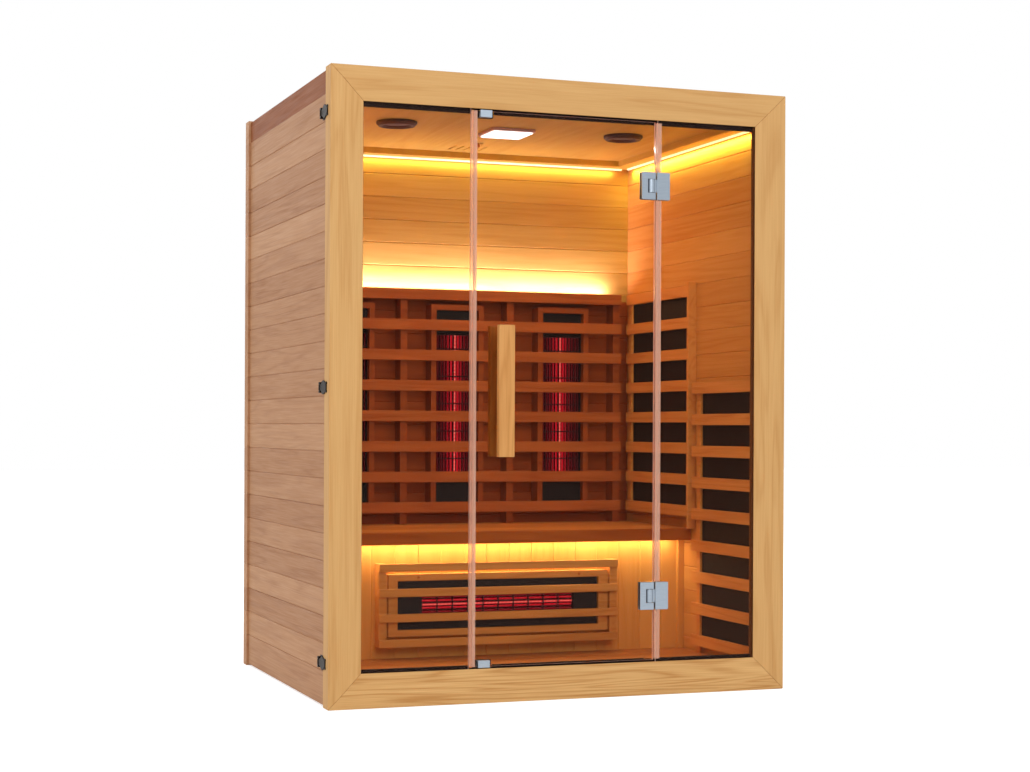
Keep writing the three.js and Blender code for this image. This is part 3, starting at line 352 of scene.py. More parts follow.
# Painted shade: the inner handle is a darker copy of the outer handle's wood
INNER_HANDLE_SHADE = (srgb(178, 106, 42), srgb(142, 72, 24))
print("tones ready, the palest wall board is", [round(share, 3) for share in WALL[0]])

# %% Masks that tell a board's sides apart
SLAT_DEPTH = 0.012
APRON_DEPTH = 0.004
WALL_MIDDLE_X = 0.72
WALL_MIDDLE_Y = 0.564
DECK_MIDDLE_Z = 1.86
ROOM_TOP = 1.8285
BACKREST_TOP = 1.31


def facing_room_x(spot):
    return (abs(spot["X"]) < WALL_MIDDLE_X) * (spot["Z"] < ROOM_TOP)


def facing_room_y(spot):
    return (spot["Y"] < WALL_MIDDLE_Y) * facing_room_x(spot)


# Where the back wall gets painted shade, behind the backrest
def behind_grille(spot):
    return facing_room_y(spot) * (spot["Z"] < BACKREST_TOP)


# Where the backrest's posts get painted shade, behind the slats
def behind_slats(spot):
    return spot["Y"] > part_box("backrest_grille")[0].y + SLAT_DEPTH


# Where the bench seat's front face gets painted shade
def bench_front(spot):
    return spot["Y"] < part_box("bench_seat")[0].y + APRON_DEPTH


def under_roof(spot):
    return (abs(spot["X"]) < WALL_MIDDLE_X) * (spot["Z"] < DECK_MIDDLE_Z)


print("masks ready")

# %% The cabin's timbers
BACK_Y = 0.5387
WALL_BOARDS = ("Z", 1.8287, 0.082)
FLOOR_BOARDS = ("Y", BACK_Y, 0.095)
BENCH_BOARDS = ("Y", BACK_Y, 0.093)
KICK_BOARDS = ("X", 0.6945, 0.081)
SLATS = ("Z", 0.495, 0.109)
SLAT_CONTRAST = 0.3
CALM = 0.6
LIVELY = 1.3
FOOT_RINGS = 80

# Inside faces take a painted warm glow. Behind the backrest, on its posts and on the bench's front edge,
# the layers are painted shade.
side_glow_layers = [(facing_room_x, SIDE_PAINTED_GLOW)]
back_glow_and_shade_layers = [(facing_room_y, ROOM_PAINTED_GLOW), (behind_grille, GRILLE_SHADE)]
roof_glow_layers = [(under_roof, CEILING_PAINTED_GLOW)]
bench_shade_layers = [(bench_front, APRON_SHADE)]
post_shade_layers = [(behind_slats, POST_SHADE)]
side_wall_wood = wood("side_wall_boards", WALL, "Y", WALL_BOARDS, side_glow_layers, strength=CALM)
back_wall_wood = wood("back_wall_boards", WALL, "X", WALL_BOARDS, back_glow_and_shade_layers, strength=CALM)
roof_wood = wood("roof_boards", CROWN, "Y", None, roof_glow_layers, strength=CALM)
floor_wood = wood("floor_boards", FLOOR, "X", FLOOR_BOARDS)
bench_wood = wood("bench_boards", BENCH, "X", BENCH_BOARDS, bench_shade_layers)
kick_wood = wood("kick_boards", KICK, "Z", KICK_BOARDS, contrast=SLAT_CONTRAST, strength=CALM)
back_slat_wood = wood("backrest_slats", BACK_SLAT, "X", SLATS, post_shade_layers, contrast=SLAT_CONTRAST)
side_slat_wood = wood("guard_slats", GUARD_SLAT, "Y", SLATS, contrast=SLAT_CONTRAST)
calf_slat_wood = wood("calf_slats", CALF_SLAT, "X", SLATS, contrast=SLAT_CONTRAST)
stile_wood = wood("frame_upright", FRAME, "Z", strength=CALM)
rail_wood = wood("frame_level", FRAME, "X", strength=CALM)
foot_wood = wood("frame_foot", FRAME, "X", strength=LIVELY, rings=FOOT_RINGS)
handle_wood = wood("handle_bar", HANDLE, "Z")
# The inner handle's wood, with painted shade
inner_handle_shaded_wood = wood("inner_handle_bar_shaded", INNER_HANDLE_SHADE, "Z")
print("timbers:", len(bpy.data.materials))

# %% [markdown]
# ## Glass
# Each pane is eight millimetres of clear glass. Seen square on it is almost nothing, and its polished
# edges show as pale pink lines. A mirror that is mixed in by Fresnel's rule gives the faces, and the
# normal, turned into the pane's own axes so that an open door keeps its look, tells the edges from the
# faces. A transparent shader lets the studio light and the strips' light through without caustics. The
# soft seal along an edge is a streaky plastic that is half see-through.

# %% Glass finish
GLASS_TINT = (0.9, 0.885, 0.87, 1)
GLASS_IOR = 1.45
GLASS_ROUGHNESS = 0.08
EDGE_PINK = srgb(246, 204, 190)
EDGE_COVER = 0.9
FACE_SHEEN = 0.16
SQUARE_ON = 0.5

glass, finish = new_finish("clear_glass")
facing = finish.node("ShaderNodeNewGeometry", out="Normal")
to_pane = {"vector_type": "NORMAL", "convert_from": "WORLD", "convert_to": "OBJECT"}
pane_normal = finish.node("ShaderNodeVectorTransform", to_pane, {0: facing})
edge = abs(finish.spot(pane_normal)["Y"]) < SQUARE_ON
fresnel = finish.node("ShaderNodeFresnel", None, {"IOR": GLASS_IOR})
cover = edge * EDGE_COVER + (1 - edge) * fresnel * FACE_SHEEN
clear = finish.node("ShaderNodeBsdfTransparent", None, {"Color": GLASS_TINT})
sheen = finish.surface(Base_Color=EDGE_PINK, Metallic=1 - edge, Roughness=GLASS_ROUGHNESS)
finish.show(finish.node("ShaderNodeMixShader", None, {0: cover, 1: clear, 2: sheen}))

SEAL_STREAKS = (300, 300, 3)
SEAL_DETAIL = 2
SEAL_PALE = srgb(252, 204, 176)
SEAL_DEEP = srgb(212, 150, 124)
SEAL_ROUGHNESS = 0.15
SEAL_ROUGHNESS_SPREAD = 0.2
SEAL_COVER = 0.26
SEAL_COVER_SPREAD = 0.3
clear_seal, finish = new_finish("clear_seal")
streak = finish.noise(finish.place(), SEAL_STREAKS, SEAL_DETAIL)
finish.show(finish.surface(
    Base_Color=finish.mix(streak, SEAL_PALE, SEAL_DEEP),
    Roughness=streak * SEAL_ROUGHNESS_SPREAD + SEAL_ROUGHNESS,
    Alpha=streak * SEAL_COVER_SPREAD + SEAL_COVER,
))
print("glass finishes made")

# %% [markdown]
# ## Metal, film and plastic
# The hinges and strikes are satin steel, so a fine noise streaks their roughness. The latches are dark
# bronze. The heaters' housings are matt black paint, and the flat side heaters are a black film with a
# faint weave. The seal round the glass is black at the head and the foot and brown along the uprights.
# The speakers have a ring pattern in their dark brown cloth.

# %% Hard finishes
MOTTLE_DETAIL = 3
MOTTLE_ROUGHNESS = 0.15
MOTTLE_HEIGHT = 0.0003


def plain(name, tones, scale, roughness, metallic=0.0, relief=0.15, gloss=0.5, layers=()):
    """A mottled finish between two tones, with another colour where a layer's mask is 1."""
    material, finish = new_finish(name)
    place = finish.place()
    mottle = finish.noise(place, scale, MOTTLE_DETAIL)
    colour = finish.mix(mottle, *tones)
    for mask, layer_colour in layers:
        colour = finish.mix(mask(finish.spot(place)), colour, layer_colour)
    finish.show(finish.surface(
        Base_Color=colour,
        Roughness=mottle * MOTTLE_ROUGHNESS + roughness,
        Metallic=metallic,
        Specular_IOR_Level=gloss,
        Normal=finish.bump(mottle, relief, MOTTLE_HEIGHT),
    ))
    return material


BRUSHED = (40, 40, 1400)
GRAIN = (700, 700, 700)
WEAVE = (900, 900, 900)
UPRIGHT_WIDTH = 0.0152
UPRIGHT_BROWN = srgb(112, 66, 32)
STEEL = (srgb(162, 173, 184), srgb(135, 145, 156))
BRONZE = (srgb(38, 28, 20), srgb(20, 14, 10))
HEATER_PAINT = (srgb(28, 18, 15), srgb(16, 9, 7))
CARBON = (srgb(34, 19, 13), srgb(22, 12, 8))
SEAL_BLACK = (srgb(34, 15, 7), srgb(20, 8, 4))


def seal_upright(spot):
    return abs(spot["X"]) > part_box("glass_seal")[1].x - UPRIGHT_WIDTH


seal_layers = [(seal_upright, UPRIGHT_BROWN)]
steel = plain("satin_steel", STEEL, BRUSHED, roughness=0.26, metallic=1.0, relief=0.05)
bronze = plain("dark_bronze", BRONZE, GRAIN, roughness=0.42, metallic=0.3, gloss=0.15)
heater_black = plain("heater_black", HEATER_PAINT, GRAIN, roughness=0.55, gloss=0.2)
carbon_film = plain("carbon_film", CARBON, WEAVE, roughness=0.6, gloss=0.2)
seal_black = plain("seal_black", SEAL_BLACK, GRAIN, roughness=0.6, gloss=0.15, layers=seal_layers)
print("hard finishes made")

# %% Speaker cloth
SIDES = (("left", -1), ("right", 1))
SPEAKER_RING = 0.004
CLOTH_DARK = srgb(52, 26, 14)
CLOTH_PALE = srgb(92, 50, 28)
CLOTH_ROUGHNESS = 0.5
CLOTH_ROUGHNESS_SPREAD = 0.2
CLOTH_RELIEF = 0.4
CLOTH_RELIEF_HEIGHT = 0.0008

speaker_cloth = {}
for side, _ in SIDES:
    low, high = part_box(f"speaker_{side}")
    middle = (low + high) / 2
    speaker_cloth[side], finish = new_finish(f"speaker_cloth_{side}")
    spot = finish.spot(finish.place())
    across = spot["X"] - middle.x
    inward = spot["Y"] - middle.y
    radius = (across * across + inward * inward).math("SQRT")
    ring = (radius * (math.tau / SPEAKER_RING)).wave()
    finish.show(finish.surface(
        Base_Color=finish.mix(ring, CLOTH_DARK, CLOTH_PALE),
        Roughness=ring * CLOTH_ROUGHNESS_SPREAD + CLOTH_ROUGHNESS,
        Normal=finish.bump(ring, CLOTH_RELIEF, CLOTH_RELIEF_HEIGHT),
    ))
print("speaker cloths:", len(speaker_cloth))

# %% [markdown]
# ## What glows
# An emitter is a ribbed plate that glows red behind guard wires, brightest along its middle where the
# coil runs. The glow is painted by the distance from that middle line. The ribs' roots are painted dark
# as shade, and so are the shadows of the guard wires, which run along and across the plate. The coil is
# a dotted line of pale red. The ceiling light and the strips glow evenly. Lamps next to them do the
# lighting, so the glowing faces themselves need no samples.

# %% Emitter glow
RIB_PITCH = 0.008
ROOT_FROM = 0.3
ROOT_SLOPE = 4
ROOT_SHADE = 0.4
GUARD_PITCH = 0.0125
GUARD_HALF = 0.0027
COIL_PITCH = 0.013
COIL_HALF = 0.035
COIL_GAP = 0.4
CROSS_WIRE_HALF = 0.0024
HALF_STEP = 0.5
GLOW_FALL = 1.15
GLOW_GAIN = 1.5
GLOW_DARK = srgb(84, 4, 10)
GLOW_RED = srgb(255, 24, 46)
GLOW_COIL = srgb(255, 128, 110)
# The plate's own dark colour, also used for the painted shade at the rib roots and the painted wire
# shadows
GLOW_SHADE_AND_BASE = srgb(16, 2, 3)
GLOW_ROUGHNESS = 0.5
GLOW_GLOSS = 0.1


def unsampled(material):
    material.cycles.emission_sampling = "NONE"
    return material


def emitter_glow(node, across, along, wire_steps, wire_shift):
    """The glow of one emitter, whose ribs are counted across it and its cross wires along it."""
    axis = "XYZ".index(across)
    length = "XYZ".index(along)
    low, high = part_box(node)
    middle = (low[axis] + high[axis]) / 2
    half = (high[axis] - low[axis]) / 2
    material, finish = new_finish(node + "_glow")
    spot = finish.spot(finish.place())
    offset = abs((spot[across] - middle) / half)
    near = (1 - offset * GLOW_FALL).held()
    red = finish.mix((near * near * near * GLOW_GAIN).held(), GLOW_DARK, GLOW_RED)
    # Painted shade in the roots between the ribs
    root = ((spot[across] - low[axis]) / RIB_PITCH).from_middle() * 2
    root_shaded = finish.mix(((root - ROOT_FROM) * ROOT_SLOPE).held() * ROOT_SHADE, red, GLOW_SHADE_AND_BASE)
    # Painted shadows of the guard wires that run along the plate
    guard = ((spot[across] - middle) / GUARD_PITCH).from_middle() * GUARD_PITCH < GUARD_HALF
    guard_shadowed = finish.mix(guard, root_shaded, GLOW_SHADE_AND_BASE)
    coil = (offset < COIL_HALF) * ((spot[along] / COIL_PITCH).part() > COIL_GAP)
    # Painted shadows of the cross wires that run across the plate
    step = (high[length] - low[length]) / wire_steps
    count = (spot[along] - low[length]) / step + (HALF_STEP - wire_shift)
    shaded = count.from_middle() * step < CROSS_WIRE_HALF
    finish.show(finish.surface(
        Base_Color=GLOW_SHADE_AND_BASE,
        Roughness=GLOW_ROUGHNESS,
        Specular_IOR_Level=GLOW_GLOSS,
        Emission_Color=finish.mix(shaded, finish.mix(coil, guard_shadowed, GLOW_COIL), GLOW_SHADE_AND_BASE),
        Emission_Strength=1.0,
    ))
    return unsampled(material)


print("emitter glow ready")

# %% Ceiling light and strips
LIGHT_FACE_Z = 1.8185
LIGHT_FACE_HALF = 0.0745
LIGHT_RIM = srgb(196, 150, 140)
LIGHT_FACE = srgb(250, 246, 250)
LIGHT_GLOW = (1, 0.97, 1, 1)
LIGHT_ROUGHNESS = 0.4
LIGHT_STRENGTH = 1.6
ceiling_glow, finish = new_finish("ceiling_light_glow")
spot = finish.spot(finish.place())
lit = (spot["Z"] < LIGHT_FACE_Z) * (abs(spot["X"]) < LIGHT_FACE_HALF)
finish.show(finish.surface(
    Base_Color=finish.mix(lit, LIGHT_RIM, LIGHT_FACE),
    Roughness=LIGHT_ROUGHNESS,
    Emission_Color=finish.mix(lit, BLACK, LIGHT_GLOW),
    Emission_Strength=LIGHT_STRENGTH,
))
unsampled(ceiling_glow)

STRIP_WAVES = 120
STRIP_LENS = srgb(255, 240, 200)
STRIP_DEEP_GLOW = (1, 0.84, 0.46, 1)
STRIP_PALE_GLOW = (1, 0.91, 0.6, 1)
STRIP_ROUGHNESS = 0.3
STRIP_STRENGTH = 1.15
strip_glow, finish = new_finish("light_strip_glow")
dots = (finish.spot(finish.place())["X"] * STRIP_WAVES).wave()
finish.show(finish.surface(
    Base_Color=STRIP_LENS,
    Roughness=STRIP_ROUGHNESS,
    Emission_Color=finish.mix(dots, STRIP_DEEP_GLOW, STRIP_PALE_GLOW),
    Emission_Strength=STRIP_STRENGTH,
))
unsampled(strip_glow)
print("light finishes made")

# %% [markdown]
# ## Sanded edges
# CAD edges are perfectly sharp, and nothing made of wood or steel is. A copy of a node is merged, its
# flat faces are joined again, and its outer edges get a small round bevel. The copy stands for the node
# and rides on the node's own body. Inner corners stay sharp, as they are where two boards meet. Panes,
# walls and emitters keep the node's own mesh and only get a finish.

# %% How a node is dressed
MERGE = 2e-5
FLAT = math.radians(1)
SHARP = math.radians(25)
BEVEL_SEGMENTS = 2

bodies = frame["record"]["behaviour"]["bodies"]
node_body = {node: body for body, nodes in bodies.items() for node in nodes}


def finished_piece(name, shape, body, material):
    mesh = bpy.data.meshes.new(name)
    shape.to_mesh(mesh)
    shape.free()
    if "custom_normal" in mesh.attributes:
        mesh.attributes.remove(mesh.attributes["custom_normal"])
    made = bpy.data.objects.new(name, mesh)
    scene.collection.objects.link(made)
    mesh.materials.clear()
    mesh.materials.append(material)
    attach(made, body)
    return made


def rounded(shape, edges, width):
    bmesh.ops.bevel(
        shape, geom=edges, offset=width, offset_type="OFFSET", segments=BEVEL_SEGMENTS,
        profile=0.5, affect="EDGES", clamp_overlap=True, material=-1)


def dressed(node, material):
    frame["nodes"][node].material_slots[0].material = material


def sanded(node, material, width):
    shape = bmesh.new()
    shape.from_mesh(frame["nodes"][node].data)
    bmesh.ops.remove_doubles(shape, verts=shape.verts, dist=MERGE)
    bmesh.ops.dissolve_limit(shape, angle_limit=FLAT, verts=shape.verts, edges=shape.edges)
    corners = [e for e in shape.edges if e.is_manifold and e.calc_face_angle_signed() > SHARP]
    rounded(shape, corners, width)
    made = finished_piece(node + "_sanded", shape, node_body[node], material)
    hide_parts(node)


# %% Dress the walls, the frame and the latches
FRAME_EDGE = 0.0015
SLAT_EDGE = 0.0018
HEATER_EDGE = 0.001
LATCH_EDGE = 0.0006
LEVER_EDGE = 0.0007
STRIKE_EDGE = 0.0006

for side, _ in SIDES:
    dressed(f"{side}_wall", side_wall_wood)
    sanded(f"frame_{side}_stile", stile_wood, FRAME_EDGE)
    dressed(f"{side}_glass", glass)
    for end in ("rear", "front"):
        sanded(f"side_guard_{side}_{end}", side_slat_wood, SLAT_EDGE)
        sanded(f"side_heater_{side}_{end}", carbon_film, HEATER_EDGE)
    for height in ("upper", "middle", "lower"):
        sanded(f"latch_base_{side}_{height}", bronze, LATCH_EDGE)
        sanded(f"latch_lever_{side}_{height}", bronze, LEVER_EDGE)
for end, timber in (("top", rail_wood), ("bottom", foot_wood)):
    sanded(f"frame_{end}_rail", timber, FRAME_EDGE)
    sanded(f"strike_{end}", steel, STRIKE_EDGE)

# %% Dress the hinges, the back heaters and the speakers
HINGE_EDGE = 0.0008
BACK_WIRE_STEPS = 5
BACK_WIRE_SHIFT = HALF_STEP

for height in ("upper", "lower"):
    sanded(f"hinge_{height}_door_leaf", steel, HINGE_EDGE)
    sanded(f"hinge_{height}_fixed_leaf", steel, HINGE_EDGE)
    dressed(f"hinge_{height}_pin", steel)
for place in ("left", "centre", "right"):
    emitter = f"back_emitter_{place}"
    sanded(f"back_heater_{place}", heater_black, HEATER_EDGE)
    dressed(emitter, emitter_glow(emitter, "X", "Z", BACK_WIRE_STEPS, BACK_WIRE_SHIFT))
for side, cloth in speaker_cloth.items():
    dressed(f"speaker_{side}", cloth)

# %% Dress the door, the bench and the ceiling
HANDLE_EDGE = 0.002
BENCH_EDGE = 0.003
KICK_EDGE = 0.0008
LIGHT_EDGE = 0.0015
VENT_EDGE = 0.001
CALF_WIRE_STEPS = 10
CALF_WIRE_SHIFT = 0

dressed("back_wall", back_wall_wood)
dressed("roof_panel", roof_wood)
dressed("floor_panel", floor_wood)
dressed("door_glass", glass)
dressed("glass_seal", seal_black)
dressed("door_edge_seal", clear_seal)
sanded("handle_outer", handle_wood, HANDLE_EDGE)
sanded("handle_inner", inner_handle_shaded_wood, HANDLE_EDGE)
sanded("bench_seat", bench_wood, BENCH_EDGE)
sanded("bench_kick_panel", kick_wood, KICK_EDGE)
sanded("backrest_grille", back_slat_wood, SLAT_EDGE)
sanded("calf_guard", calf_slat_wood, SLAT_EDGE)
sanded("calf_heater", heater_black, HEATER_EDGE)
dressed("calf_emitter", emitter_glow("calf_emitter", "Z", "X", CALF_WIRE_STEPS, CALF_WIRE_SHIFT))
sanded("ceiling_light", ceiling_glow, LIGHT_EDGE)
sanded("vent_slider", side_slat_wood, VENT_EDGE)

# %% [markdown]
# ## Light strips
# Soft warm strips hide under the ceiling's edge boards, behind the backrest's top slat and under the
# bench. Each one is a slim bar with a domed lens. Half a disc is cut with a plane and drawn out along
# the strip's length. The lamps that do their lighting come with the studio.

# %% Strip bars
STRIP_RADIUS = 0.006
STRIP_SEGMENTS = 20
DOWN = (0, 0, -1)


def strip_bar(name, start, end, facing):
    along = Vector(end) - Vector(start)
    z_axis = along.normalized()
    y_axis = Vector(facing)
    shape = bmesh.new()
    bmesh.ops.create_circle(shape, cap_ends=True, radius=STRIP_RADIUS, segments=STRIP_SEGMENTS)
    everything = shape.verts[:] + shape.edges[:] + shape.faces[:]
    bmesh.ops.bisect_plane(shape, geom=everything, plane_no=(0, -1, 0), clear_outer=True)
    drawn = bmesh.ops.extrude_face_region(shape, geom=shape.faces[:])
    moved = [v for v in drawn["geom"] if isinstance(v, bmesh.types.BMVert)]
    bmesh.ops.translate(shape, verts=moved, vec=(0, 0, along.length))
    matrix = turned_to(start, y_axis.cross(z_axis), y_axis, z_axis)
    bmesh.ops.transform(shape, matrix=matrix, verts=shape.verts)
    bmesh.ops.recalc_face_normals(shape, faces=shape.faces)
    finished_piece(name, shape, "cabin", strip_glow)


SOFFIT_UNDER = 1.8078
STRIP_INSET = 0.014
STRIP_END_GAP = 0.02
WALL_FACE = 0.695
BACK_FACE = 0.539
FRONT_END = -0.52
SHELF_TOP = 1.3222
SHELF_Y = 0.505
SHELF_END = 0.61
BENCH_UNDER = 0.4618
BENCH_STRIP_Y = 0.024
BENCH_END = 0.66

corner_x = WALL_FACE - STRIP_INSET
corner_y = BACK_FACE - STRIP_INSET


def both_ends(x, y, z):
    return (-x, y, z), (x, y, z)


strip_bar("soffit_strip_back", *both_ends(corner_x - STRIP_END_GAP, corner_y, SOFFIT_UNDER), DOWN)
for side, sign in SIDES:
    x = sign * corner_x
    rear_end = corner_y - STRIP_END_GAP
    strip_bar(f"soffit_strip_{side}", (x, FRONT_END, SOFFIT_UNDER), (x, rear_end, SOFFIT_UNDER), DOWN)
strip_bar("backrest_strip", *both_ends(SHELF_END, SHELF_Y, SHELF_TOP), UP)
strip_bar("bench_strip", *both_ends(BENCH_END, BENCH_STRIP_Y, BENCH_UNDER), DOWN)
print("light strips made")

# %% [markdown]
# ## Hinge-side seal
# The gap beside the hinges is closed by a clear channel that grips the fixed pane's edge, in three
# lengths because the hinges interrupt it. A box that has lost three faces is the channel's middle
# surface, and Solidify's operator gives it a wall. Behind the black ring's two gaps, where the door's
# corners turn, a small black plate closes the view.

# %% Clear channel and black plates
CHANNEL_X = (0.3035, 0.322)
CHANNEL_Y = (-0.5757, -0.5657)
CHANNEL_WALL = 0.0009
CHANNEL_RUNS = ((0.112, 0.2650), (0.3540, 1.5510), (1.6400, 1.793))


def block(shape, x_range, y_range, z_range):
    """A box between three pairs of limits, in a bmesh."""
    ranges = (x_range, y_range, z_range)
    made = bmesh.ops.create_cube(shape, size=1)["verts"]
    bmesh.ops.scale(shape, vec=[high - low for low, high in ranges], verts=made)
    bmesh.ops.translate(shape, vec=[(low + high) / 2 for low, high in ranges], verts=made)


for number, run in enumerate(CHANNEL_RUNS, start=1):
    shape = bmesh.new()
    block(shape, CHANNEL_X, CHANNEL_Y, run)
    shape.normal_update()
    opened = [f for f in shape.faces if f.normal.x > SQUARE_ON or abs(f.normal.z) > SQUARE_ON]
    bmesh.ops.delete(shape, geom=opened, context="FACES")
    bmesh.ops.solidify(shape, geom=shape.faces[:], thickness=CHANNEL_WALL)
    bmesh.ops.recalc_face_normals(shape, faces=shape.faces)
    finished_piece(f"hinge_side_seal_{number}", shape, "cabin", clear_seal)

PLATE_X = (0.268, 0.3085)
PLATE_Y = (-0.5567, -0.5537)
PLATE_RUNS = {"bottom": (0.0935, 0.1105), "top": (1.7895, 1.8115)}
PLATE_EDGE = 0.0006
for end, run in PLATE_RUNS.items():
    shape = bmesh.new()
    block(shape, PLATE_X, PLATE_Y, run)
    rounded(shape, shape.edges[:], PLATE_EDGE)
    finished_piece(f"seal_plate_{end}", shape, "cabin", seal_black)
print("hinge-side seal made")

# %% [markdown]
# ## Latch keepers and plugs
# A latch lever needs something to press on. A keeper is a small forked block on the stile, above and
# below the lever's nose. The calf guard's posts and top board are screwed from the front, and turned
# wooden plugs with a dished face cover the screws.

# %% Keepers
KEEPER_RISE = 0.0032
KEEPER_HALF = 0.0035
KEEPER_Y = (-0.562, -0.542)
KEEPER_SPLIT = 0.0125
KEEPER_EDGE = 0.001
STILE_FACE = 0.7525
LATCH_HEIGHTS = {"upper": 1.772, "middle": 0.9525, "lower": 0.133}

for side, sign in SIDES:
    for height, z in LATCH_HEIGHTS.items():
        shape = bmesh.new()
        out = sorted((sign * STILE_FACE, sign * (STILE_FACE + KEEPER_RISE)))
        for end in (-1, 1):
            foot = z + end * KEEPER_SPLIT
            block(shape, out, KEEPER_Y, (foot - KEEPER_HALF, foot + KEEPER_HALF))
        rounded(shape, shape.edges[:], KEEPER_EDGE)
        finished_piece(f"latch_keeper_{side}_{height}", shape, "cabin", bronze)
print("keepers made")

# %% Calf guard plugs
PLUG_RADIUS = 0.0045
PLUG_TOP_RADIUS = PLUG_RADIUS * 0.8
PLUG_RIM = PLUG_RADIUS * 0.35
PLUG_RISE = 0.0016
PLUG_DISH = PLUG_RISE * 0.4
PLUG_SUNK = 0.0002
PLUG_SEGMENTS = 24
RIGHT = Vector((1, 0, 0))
FORWARD = Vector((0, -1, 0))
PLUG_SEATS = {
    "post_lower": (0.4135, 0.008, 0.162),
    "post_upper": (0.4135, 0.008, 0.338),
    "board": (0.288, 0.011, 0.336),
}

for side, sign in SIDES:
    for seat, (x, front, z) in PLUG_SEATS.items():
        shape = bmesh.new()
        bmesh.ops.create_cone(
            shape, cap_ends=True, segments=PLUG_SEGMENTS, radius1=PLUG_RADIUS, radius2=PLUG_TOP_RADIUS,
            depth=PLUG_RISE)
        shape.normal_update()
        crown = max(shape.faces, key=lambda face: face.calc_center_median().z)
        bmesh.ops.inset_region(shape, faces=[crown], thickness=PLUG_RIM, depth=-PLUG_DISH)
        middle = Vector((sign * x, front + PLUG_SUNK - PLUG_RISE / 2, z))
        bmesh.ops.transform(shape, matrix=turned_to(middle, RIGHT, UP, FORWARD), verts=shape.verts)
        finished_piece(f"calf_plug_{side}_{seat}", shape, "cabin", back_slat_wood)
print("plugs made")

# %% [markdown]
# ## Studio
# The cabin stands on a plain white floor under a soft white sky. A wide lamp from the front lights the
# frame, and weaker ones fill the other three sides. Inside, one lamp lies along each light strip. Together
# with the honey tones painted on the inside boards, these lamps give the walls their warm glow. Floor and
# sky show full white only to the rays that look at them, and light the cabin less.

# %% Floor and sky
FLOOR_HALF = 30
FLOOR_DROP = -0.0006
FLOOR_GREY = (0.8, 0.8, 0.8, 1)
FLOOR_ROUGHNESS = 0.9
FLOOR_GLOW = 0.62
WHITE = (1, 1, 1, 1)
SKY_LIGHT = 0.62
SHOWING_RAYS = ("Camera", "Glossy", "Transmission")

shape = bmesh.new()
bmesh.ops.create_grid(shape, x_segments=2, y_segments=2, size=FLOOR_HALF)
bmesh.ops.translate(shape, verts=shape.verts, vec=(0, 0, FLOOR_DROP))
floor_mesh = bpy.data.meshes.new("studio_floor")
shape.to_mesh(floor_mesh)
shape.free()
studio_floor = bpy.data.objects.new("studio_floor", floor_mesh)
scene.collection.objects.link(studio_floor)


def background_seen(finish):
    rays = [finish.node("ShaderNodeLightPath", out=f"Is {kind} Ray") for kind in SHOWING_RAYS]
    return (rays[0] + rays[1] + rays[2]).held()


floor_white, finish = new_finish("floor_white")
finish.show(finish.surface(
    Base_Color=FLOOR_GREY,
    Roughness=FLOOR_ROUGHNESS,
    Emission_Color=finish.mix(background_seen(finish), BLACK, WHITE),
    Emission_Strength=FLOOR_GLOW,
))
floor_mesh.materials.append(unsampled(floor_white))

world = bpy.data.worlds.new("studio_sky")
scene.world = world
sky = Finish(world)
strength = background_seen(sky) * (1 - SKY_LIGHT) + SKY_LIGHT
background = sky.node("ShaderNodeBackground", None, {"Color": WHITE, "Strength": strength})
sky.node("ShaderNodeOutputWorld", None, {"Surface": background})
print("floor and sky made")

# %% Studio lamps
PLAIN_LIGHT = (1, 1, 1)
ACROSS = (1, 0, 0)
INWARD = (0, 1, 0)


def lamp(name, place, along, facing, size, power, colour=PLAIN_LIGHT):
    """A rectangular lamp with its longer side along one direction, and its power in watts."""
    data = bpy.data.lights.new(name, "AREA")
    data.shape = "RECTANGLE"
    data.size, data.size_y = size
    data.energy = power
    data.color = colour
    x_axis = Vector(along).normalized()
    z_axis = -Vector(facing).normalized()
    holder = bpy.data.objects.new(name, data)
    holder.matrix_world = turned_to(place, x_axis, z_axis.cross(x_axis), z_axis)
    scene.collection.objects.link(holder)


STUDIO_LAMPS = {
    "front_lamp": ((-1.0, -6.2, 3.8), ACROSS, (0, 0.88, -0.47), (4, 2.4), 160),
    "left_lamp": ((-6.0, 0.5, 2.2), INWARD, (0.97, 0, -0.24), (5, 3), 62),
    "right_lamp": ((6.0, 0.5, 3.0), INWARD, (-0.92, 0, -0.38), (5, 3), 80),
    "rear_lamp": ((0, 6.2, 3.4), ACROSS, (0, -0.9, -0.42), (5, 3), 90),
}
for name, settings in STUDIO_LAMPS.items():
    lamp(name, *settings)
print("studio lamps:", len(STUDIO_LAMPS))

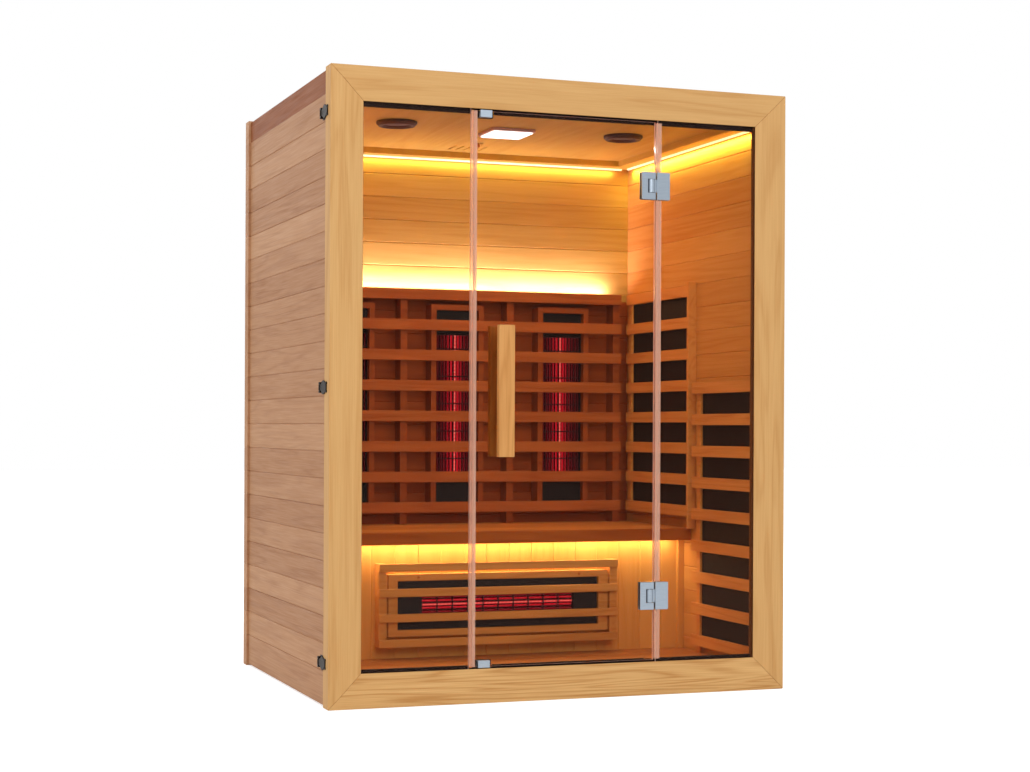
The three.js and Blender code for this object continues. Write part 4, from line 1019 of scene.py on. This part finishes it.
# %% Lamps along the soffit strips
STRIP_DROP = 0.012
STRIP_WIDTH = 0.014
SOFFIT_OUT = 0.45
SOFFIT_DOWN = -0.89
SOFFIT_BACK_SIZE = (1.26, STRIP_WIDTH)
SOFFIT_BACK_POWER = 0.95
SOFFIT_BACK_WARM = (0.9, 0.88, 0.32)
SOFFIT_SIDE_SIZE = (0.98, STRIP_WIDTH)
SOFFIT_SIDE_POWER = 2.0
SOFFIT_SIDE_WARM = (0.94, 1.0, 0.26)

soffit_z = SOFFIT_UNDER - STRIP_DROP
lamp(
    "soffit_back_lamp", (0, corner_y, soffit_z), ACROSS, (0, SOFFIT_OUT, SOFFIT_DOWN),
    SOFFIT_BACK_SIZE, SOFFIT_BACK_POWER, SOFFIT_BACK_WARM)
for side, sign in SIDES:
    lamp(
        f"soffit_{side}_lamp", (sign * corner_x, 0, soffit_z), INWARD, (sign * SOFFIT_OUT, 0, SOFFIT_DOWN),
        SOFFIT_SIDE_SIZE, SOFFIT_SIDE_POWER, SOFFIT_SIDE_WARM)
print("lamps with the soffit's:", len(bpy.data.lights))

# %% Lamps of the backrest, the bench and the ceiling
SHELF_SHIFT = 0.006
SHELF_FACING = (0, 0.35, 0.94)
SHELF_SIZE = (1.2, STRIP_WIDTH)
SHELF_POWER = 5.4
SHELF_COOL = (1.0, 0.89, 1.3)
BENCH_SIZE = (1.3, 0.02)
BENCH_POWER = 2.35
BENCH_WARM = (1.0, 0.9, 0.66)
CEILING_PLACE = (0, -0.034, 1.80)
CEILING_SIZE = (0.13, 0.13)
CEILING_POWER = 2.5
CEILING_WARM = (1, 0.9, 0.78)

shelf_place = (0, SHELF_Y + SHELF_SHIFT, SHELF_TOP + STRIP_DROP)
lamp("backrest_lamp", shelf_place, ACROSS, SHELF_FACING, SHELF_SIZE, SHELF_POWER, SHELF_COOL)
bench_place = (0, BENCH_STRIP_Y, BENCH_UNDER - STRIP_DROP)
lamp("bench_lamp", bench_place, ACROSS, DOWN, BENCH_SIZE, BENCH_POWER, BENCH_WARM)
lamp("ceiling_lamp", CEILING_PLACE, ACROSS, DOWN, CEILING_SIZE, CEILING_POWER, CEILING_WARM)
print("lamps:", len(bpy.data.lights))
